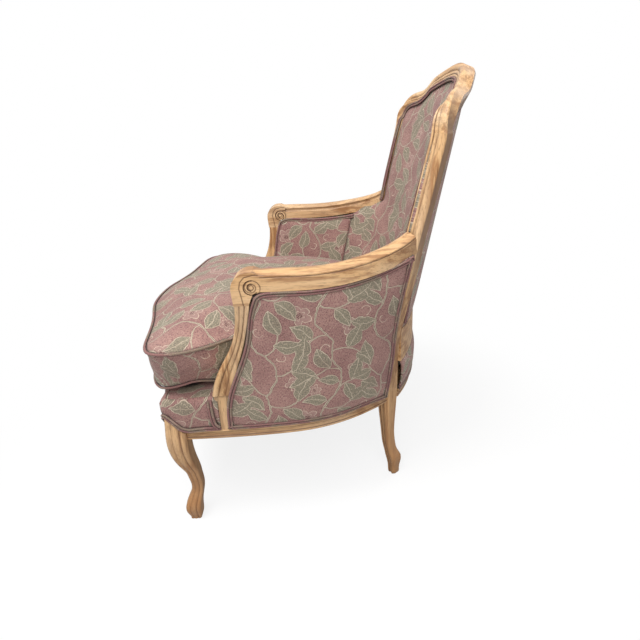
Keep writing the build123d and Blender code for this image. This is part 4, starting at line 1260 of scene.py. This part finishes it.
# Where a knee starts to rise, and over how far.
KNEE_REAR_Y, KNEE_INNER_X, KNEE_RUN = -262, 265, 44
DUST_SAG = 6
# Where the cloth of the deck, of the cushion and of its boxing was cut from, in metres.
DECK_CLOTH_SHIFT, CUSHION_CLOTH_SHIFT, BOXING_CLOTH_SHIFT = 0.21, 0.05, 0.3


def knee_line(x, y):
    """Lowest place of the deck's cover: over the rail, rising over the knee to its point."""
    rise = KNEE_TOP - SHOW_TOP
    side = SHOW_TOP + rise * (KNEE_REAR_Y - y) / KNEE_RUN
    front = SHOW_TOP + rise * (abs(x) - KNEE_INNER_X) / KNEE_RUN
    if y > -286:
        low = side
    elif abs(x) < 290:
        low = front
    else:
        low = max(side, front)
    return min(max(low, SHOW_TOP), KNEE_TOP)


class BERGERE_OT_deck(bpy.types.Operator):
    """Make the covered deck under the cushion, its piping and the dust cover"""

    bl_idname = "bergere.deck"
    bl_label = "Seat deck"

    def execute(self, context):
        radius = context.scene.bergere_sizes.welt
        half = smooth(DECK_FRONT, 110)
        line = even(np.concatenate([half * [-1, 1], half[::-1][1:]]), 200)
        out = turned(unit(np.gradient(line, axis=0)))
        rows, cloth = [], []
        for step, share in smooth(DECK_BORDER, 16):
            row, flat = [], []
            for (x, y), (ox, oy), s in zip(line, out, run_along(line)):
                low = knee_line(x, y) + 1
                z = low + (DECK_TOP - 0.5 - low) * share
                row.append(np.array([x + ox * step, y + oy * step, z]))
                flat.append((s + BORDER_CLOTH, z))
            rows.append(row)
            cloth.append(flat)
        skirt = grid_piece("deck_border", rows, cloth, BORDER_THICK)
        low = np.array([knee_line(x, y) for x, y in line])
        low = np.convolve(np.pad(low, 3, mode="edge"), np.ones(7) / 7, mode="valid")
        path = np.column_stack([line, low + (2 * radius + 1.2)])
        strip = double_piping("deck_piping", path, level(out), radius, 1.6)
        post = smooth(DECK_RISER, 40)
        facing = np.tile([1.0, -0.1, 0.1], (len(post), 1))
        riser = double_piping("deck_riser_piping_left", post, facing, radius, 0.0)
        finish_piping(riser)
        finish_piping(mirrored(riser, "deck_riser_piping_right"))
        finish_cover(self.top(), "seat_deck")
        finish_cover(skirt, "seat_deck_skirt")
        finish_piping(strip, "deck_welt")
        self.dust()
        return {"FINISHED"}

    def top(self):
        """The deck, from the plain solid: merged, remeshed and softened."""
        deck = copied("seat_deck", "deck_top")
        remesh(deck, 7.0)
        soften(deck, 6)
        top_uv(deck, DECK_CLOTH_SHIFT)
        return deck

    def dust(self):
        """Thin cloth tacked under the rails, sagging a little in the middle."""
        cloth = copied("dust_cover", "dust_cloth")
        edit_all(cloth, (bpy.ops.mesh.subdivide, {"number_cuts": 3}))
        lo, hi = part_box("dust_cover")
        middle, reach = (lo + hi) / 2, (hi - lo) / 2
        for vertex in cloth.data.vertices:
            u = (vertex.co.x - middle.x) / reach.x
            v = (vertex.co.y - middle.y) / reach.y
            vertex.co.z -= DUST_SAG * MM * max(0.0, 1 - u * u) * max(0.0, 1 - v * v)
        finish_piece(cloth, "frame", "black_cambric", material("black_cambric"), "dust_cover")


def copied(node, name):
    """A merged copy of a CAD node's mesh, as a piece of its own."""
    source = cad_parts[node]
    piece = bpy.data.objects.new(name, source.data.copy())
    piece.data.name = name
    bpy.context.scene.collection.objects.link(piece)
    edit_all(piece, (bpy.ops.mesh.remove_doubles, {"threshold": 0.00005}))
    return piece


def remesh(piece, voxel):
    apply_modifier(piece, "REMESH", mode="VOXEL", voxel_size=voxel * MM, use_smooth_shade=True)


def soften(piece, times, factor=0.6):
    apply_modifier(piece, "SMOOTH", iterations=times, factor=factor)


STEEP = 0.62  # faces whose normals rise less than this take the cloth of a side


def top_uv(piece, shift, side_line=None, side_top=1e9):
    """Each corner's place on the cloth: from above on the top, and along the line on the sides."""
    mesh = piece.data
    layer = mesh.uv_layers.new(name="cloth")
    co = vertex_places(mesh)
    uv = np.empty((len(mesh.loops), 2), np.float32)
    if side_line is not None:
        line = np.array([place((x, y, 0))[:2] for x, y in side_line])
        run = run_along(line)
    for face in mesh.polygons:
        upright = abs(face.normal.z) < STEEP
        for k in face.loop_indices:
            p = co[mesh.loops[k].vertex_index]
            if side_line is not None and upright and face.center.z < side_top:
                nearest = int(np.argmin(((line - p[:2]) ** 2).sum(1)))
                uv[k] = run[nearest] + BOXING_CLOTH_SHIFT, p[2]
            elif upright:
                uv[k] = p[0] + shift, p[2]
            else:
                uv[k] = p[0] + shift, p[1]
    layer.data.foreach_set("uv", uv.ravel())


SEAM_REACH = 35  # how far from a seam the stuffing is held back
CLOTH_SETTINGS = {
    "quality": 5,
    "mass": 0.3,
    "tension_stiffness": 12,
    "compression_stiffness": 8,
    "bending_stiffness": 0.6,
    "use_pressure": True,
}


def held(points, seams, reach):
    """0 on a seam line and 1 further from it than a reach, all in metres."""
    nearest = np.full(len(points), 1e9)
    for x, y, z in seams:
        far = (points[:, 0] - x) ** 2 + (points[:, 1] - y) ** 2 + (points[:, 2] - z) ** 2
        nearest = np.minimum(nearest, far)
    share = np.clip(np.sqrt(nearest) / reach, 0, 1)
    return share * share * (3 - 2 * share)


def vertex_places(mesh):
    co = np.empty(len(mesh.vertices) * 3)
    mesh.vertices.foreach_get("co", co)
    return co.reshape(-1, 3)


def inflate(piece, frames, pressure, most, seams):
    """Swell a closed piece by a short cloth simulation.

    Its seams stay where they are, and no point moves further than most, in mm.
    """
    only(piece)
    before = vertex_places(piece.data)
    scene = bpy.context.scene
    cloth = piece.modifiers.new("swell", "CLOTH")
    for key, value in CLOTH_SETTINGS.items():
        setattr(cloth.settings, key, value)
    cloth.settings.uniform_pressure_force = pressure
    cloth.settings.effector_weights.gravity = 0.0
    cloth.point_cache.frame_start = 1
    cloth.point_cache.frame_end = frames
    for step in range(1, frames + 1):
        scene.frame_set(step)
    evaluated = piece.evaluated_get(bpy.context.evaluated_depsgraph_get())
    after = vertex_places(evaluated.data)
    piece.modifiers.remove(cloth)
    scene.frame_set(1)
    move = after - before
    length = np.linalg.norm(move, axis=1)
    capped = most * MM * np.tanh(length / (most * MM))
    move *= (capped / np.maximum(length, 1e-9))[:, None]
    move *= held(before, seams, SEAM_REACH * MM)[:, None]
    piece.data.vertices.foreach_set("co", (before + move).ravel())
    piece.data.update()


# --- Loose cushion ---
CUSHION_LOW = 337.5
CUSHION_FOOT_Z = 354.0
CUSHION_SIDE = 458.0
CUSHION_CROWN = 503.0
PIPING_CLOTH_SHIFT = 21.0
CUSHION_CENTRE = (0.0, -105.0)
CROWN_POWER = 3.3  # higher is flatter in the middle and rounder at the edge
BOXING_BULGE, BOXING_TUCK = 5.5, 1.2
EAR_LIFT = 14  # how much higher the underside lies under the ears
SEAM_INSET = 0.4  # how far the piping is sewn in, so that the body's edge closes on it


class BERGERE_OT_cushion(bpy.types.Operator):
    """Make the loose crowned cushion with its piping"""

    bl_idname = "bergere.cushion"
    bl_label = "Seat cushion"

    def execute(self, context):
        sizes = context.scene.bergere_sizes
        top, foot = self.outline(CUSHION_TOP, 220), self.outline(CUSHION_FOOT, 220)
        body = self.body(top, foot, sizes)
        finish_cover(body, "seat_cushion", body="cushion")
        for name, line, raised, node in (
            ("cushion_piping_top", top, self.top_z, "cushion_welt_top"),
            ("cushion_piping_bottom", foot, self.foot_z, "cushion_welt_bottom"),
        ):
            out = turned(run_directions(line, True))
            path = np.column_stack([line - out * SEAM_INSET, [raised(x, y) for x, y in line]])
            profile = cord(sizes.cushion_cord)
            ring = sweep_piece(name, path, level(out), profile, True, PIPING_CLOTH_SHIFT)
            finish_piping(ring, node, body="cushion")
        return {"FINISHED"}

    def outline(self, half, count):
        """Whole plan line of a seam from its half. Both seams have their points at like places."""
        steps = smooth(half, 400)
        share = run_along(smooth(CUSHION_TOP, 400))
        share = share / share[-1]
        s = np.linspace(0, 1, count // 2 + 1)
        line = np.stack([np.interp(s, share, steps[:, k]) for k in (0, 1)], axis=1)
        return np.concatenate([line, line[-2:0:-1] * [-1, 1]])

    def dip(self, x, y):
        """The seams rise and fall a little along the boxing."""
        return 1.6 * math.sin(x / 61.0 + 0.4) + 1.1 * math.sin(y / 43.0 + x / 90.0)

    def top_z(self, x, y):
        return CUSHION_SIDE + self.dip(x, y)

    def foot_z(self, x, y):
        """The underside lifts off the deck towards the front and its ears."""
        lift = clamped((-150 - y) / 90)
        ear = clamped((y + 305) / 80) * clamped((abs(x) - 215) / 45) * lift
        height = between(CUSHION_LOW + 4, CUSHION_FOOT_Z, lift) + EAR_LIFT * ear
        return height + 0.5 * self.dip(x, y)

    def body(self, top, foot, sizes):
        """Rings from the middle of the underside round the boxing to the crown."""
        n = len(top)
        out = turned(run_directions(top, True))
        centre = np.array(CUSHION_CENTRE)
        foot_z, top_z, dip = [
            np.array([height(x, y) for x, y in line])
            for height, line in ((self.foot_z, foot), (self.top_z, top), (self.dip, top))
        ]
        rings = []
        for share in (0.0001, 0.2, 0.4, 0.6, 0.76, 0.88, 0.95, 0.985):
            rise = max(0.0, (share - 0.76) / 0.225) ** 2
            ring = centre + (foot - centre) * share
            height = CUSHION_LOW + (foot_z - CUSHION_LOW) * rise
            rings.append(np.column_stack([ring, height]))
        for share in np.linspace(0.03, 0.97, 14):
            bulge = BOXING_BULGE * math.sin(math.pi * share) - BOXING_TUCK
            ring = between(foot, top, share) + out * bulge
            rings.append(np.column_stack([ring, between(foot_z, top_z, share)]))
        for share in np.linspace(0.985, 0.0001, 26):
            ring = centre + (top - centre) * share
            height = CUSHION_SIDE + (CUSHION_CROWN - CUSHION_SIDE) * (1 - share**CROWN_POWER)
            rings.append(np.column_stack([ring, height + dip * share]))
        verts = [place(p) for ring in rings for p in ring]
        faces = []
        for j in range(len(rings) - 1):
            for i in range(n):
                q = (i + 1) % n
                faces.append([j * n + i, j * n + q, (j + 1) * n + q, (j + 1) * n + i])
        faces.append(list(reversed(range(n))))
        faces.append([(len(rings) - 1) * n + i for i in range(n)])
        piece = new_piece("cushion_body", verts, faces)
        point_outwards(piece)
        remesh(piece, 6.0)
        seams = [*np.column_stack([top, top_z]), *np.column_stack([foot, foot_z])]
        seams = [place(point) for point in seams]
        inflate(piece, 16, 3.0, sizes.cushion_puff, seams)
        soften(piece, 1, 0.5)
        self.keep_flat(piece)
        side_line, side_top = self.outline(CUSHION_TOP, 400), (CUSHION_SIDE + 3) * MM
        top_uv(piece, CUSHION_CLOTH_SHIFT, side_line, side_top)
        return piece

    def keep_flat(self, piece):
        """The underside rests on the deck."""
        for vertex in piece.data.vertices:
            vertex.co.z = max(vertex.co.z, CUSHION_LOW * MM)


# --- Floor, lamps and camera, in metres, watts and degrees ---
LAMPS = (
    ("key", (0.95, -0.95, 3.6), 1.4, 83),
    ("fill", (2.0, 0.0, 2.2), 1.8, 38),
    ("front", (-0.5, -2.3, 2.4), 1.6, 6),
    ("rear", (-1.3, 2.5, 2.0), 1.8, 20),
)
LAMPS_AIM = (0, 0, 0.5)
WHITE = (1, 1, 1, 1)
WORLD_LIGHT = 0.37
CAMERA_AT = (1.200, 0.069 - MIDDLE_Y * MM, 0.929)
CAMERA_TURN = (20.3, 6.4)  # down from level, and towards the back from square to the side
PICTURE_WIDTH = 640
FOCAL_PIXELS = 477
CAMERA_SHIFT = (-63, -42)  # in pixels


class BERGERE_OT_stage(bpy.types.Operator):
    """Set out the floor, the lamps and the camera"""

    bl_idname = "bergere.stage"
    bl_label = "Stage"

    def execute(self, context):
        scene = context.scene
        scene.view_settings.view_transform = "Standard"
        clear_selection()
        bpy.ops.mesh.primitive_plane_add(size=14, location=(0, 0, -0.0005))
        floor = context.active_object
        floor.name = "floor"
        floor.data.materials.append(self.backdrop())
        floor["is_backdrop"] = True
        self.sky(scene)
        for name, at, size, power in LAMPS:
            bpy.ops.object.light_add(type="AREA", location=at)
            lamp = context.active_object
            lamp.name = name
            lamp.data.size = size
            lamp.data.energy = power
            aim = Vector(LAMPS_AIM) - Vector(at)
            lamp.rotation_euler = aim.to_track_quat("-Z", "Y").to_euler()
        bpy.ops.object.camera_add(location=CAMERA_AT)
        camera = context.active_object
        down, aside = CAMERA_TURN
        camera.rotation_euler = (math.radians(90 - down), 0, math.radians(90 - aside))
        camera.data.lens = FOCAL_PIXELS / PICTURE_WIDTH * camera.data.sensor_width
        shift = [pixels / PICTURE_WIDTH for pixels in CAMERA_SHIFT]
        camera.data.shift_x, camera.data.shift_y = shift
        camera.data.clip_start = 0.05
        scene.camera = camera
        return {"FINISHED"}

    def sky(self, scene):
        """A soft light from all round, which looks plain white."""
        scene.world = bpy.data.worlds.new("studio")
        n = Nodes(scene.world)
        dim = n.add("Background", {"Color": WHITE, "Strength": WORLD_LIGHT})
        plain = n.add("Background", {"Color": WHITE, "Strength": 1.0})
        seen = n.add("LightPath", output="Is Camera Ray")
        seen = n.most(seen, seen.other("Is Glossy Ray"))
        sky = n.add("MixShader", {0: seen, 1: dim, 2: plain})
        n.close(sky, "OutputWorld")

    def backdrop(self):
        """Pale floor that keeps the chair's shadow and runs out to plain white away from it."""
        n = material_nodes("pale_floor")
        away = n.vector("LENGTH", n.add("TexCoord", output="Object"))
        glow = n.add("Emission", {"Color": WHITE, "Strength": 1.0})
        seen = n.add("LightPath", output="Is Camera Ray")
        base = n.mix(seen, (0.55, 0.55, 0.55, 1), (0.95, 0.95, 0.95, 1))
        floor = n.finish(base, 0.9, None, 0.0)
        share = (n.ramp(away, 0.4, 0.95) * 0.18 + 0.82) * seen
        return n.close(n.add("MixShader", {0: share, 1: floor, 2: glow}))


class BERGERE_PT_panel(bpy.types.Panel):
    """Steps that dress the chair, and what a user would change"""

    bl_idname = "BERGERE_PT_panel"
    bl_label = "Bergere armchair"
    bl_space_type = "VIEW_3D"
    bl_region_type = "UI"
    bl_category = "Bergere"

    def draw(self, context):
        layout = self.layout
        for operator in OPERATORS:
            layout.operator(operator.bl_idname)
        for group in (context.scene.bergere_look, context.scene.bergere_sizes):
            for name in group.__annotations__:
                layout.prop(group, name)


OPERATORS = (
    BERGERE_OT_stage,
    BERGERE_OT_frame,
    BERGERE_OT_arm_covers,
    BERGERE_OT_back_covers,
    BERGERE_OT_deck,
    BERGERE_OT_cushion,
)
CLASSES = (BergereLook, BergereSizes, *OPERATORS, BERGERE_PT_panel)


def register():
    for cls in CLASSES:
        bpy.utils.register_class(cls)
    bpy.types.Scene.bergere_look = PointerProperty(type=BergereLook)
    bpy.types.Scene.bergere_sizes = PointerProperty(type=BergereSizes)


def unregister():
    del bpy.types.Scene.bergere_look
    del bpy.types.Scene.bergere_sizes
    for cls in reversed(CLASSES):
        bpy.utils.unregister_class(cls)


def main():
    register()
    for operator in OPERATORS:
        group, name = operator.bl_idname.split(".")
        getattr(getattr(bpy.ops, group), name)()
    clear_selection()
    boxes = {"cad": cad_box, "visual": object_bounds()}
    boxes = {name: [list(corner) for corner in box] for name, box in boxes.items()}


if __name__ == "__main__":
    main()
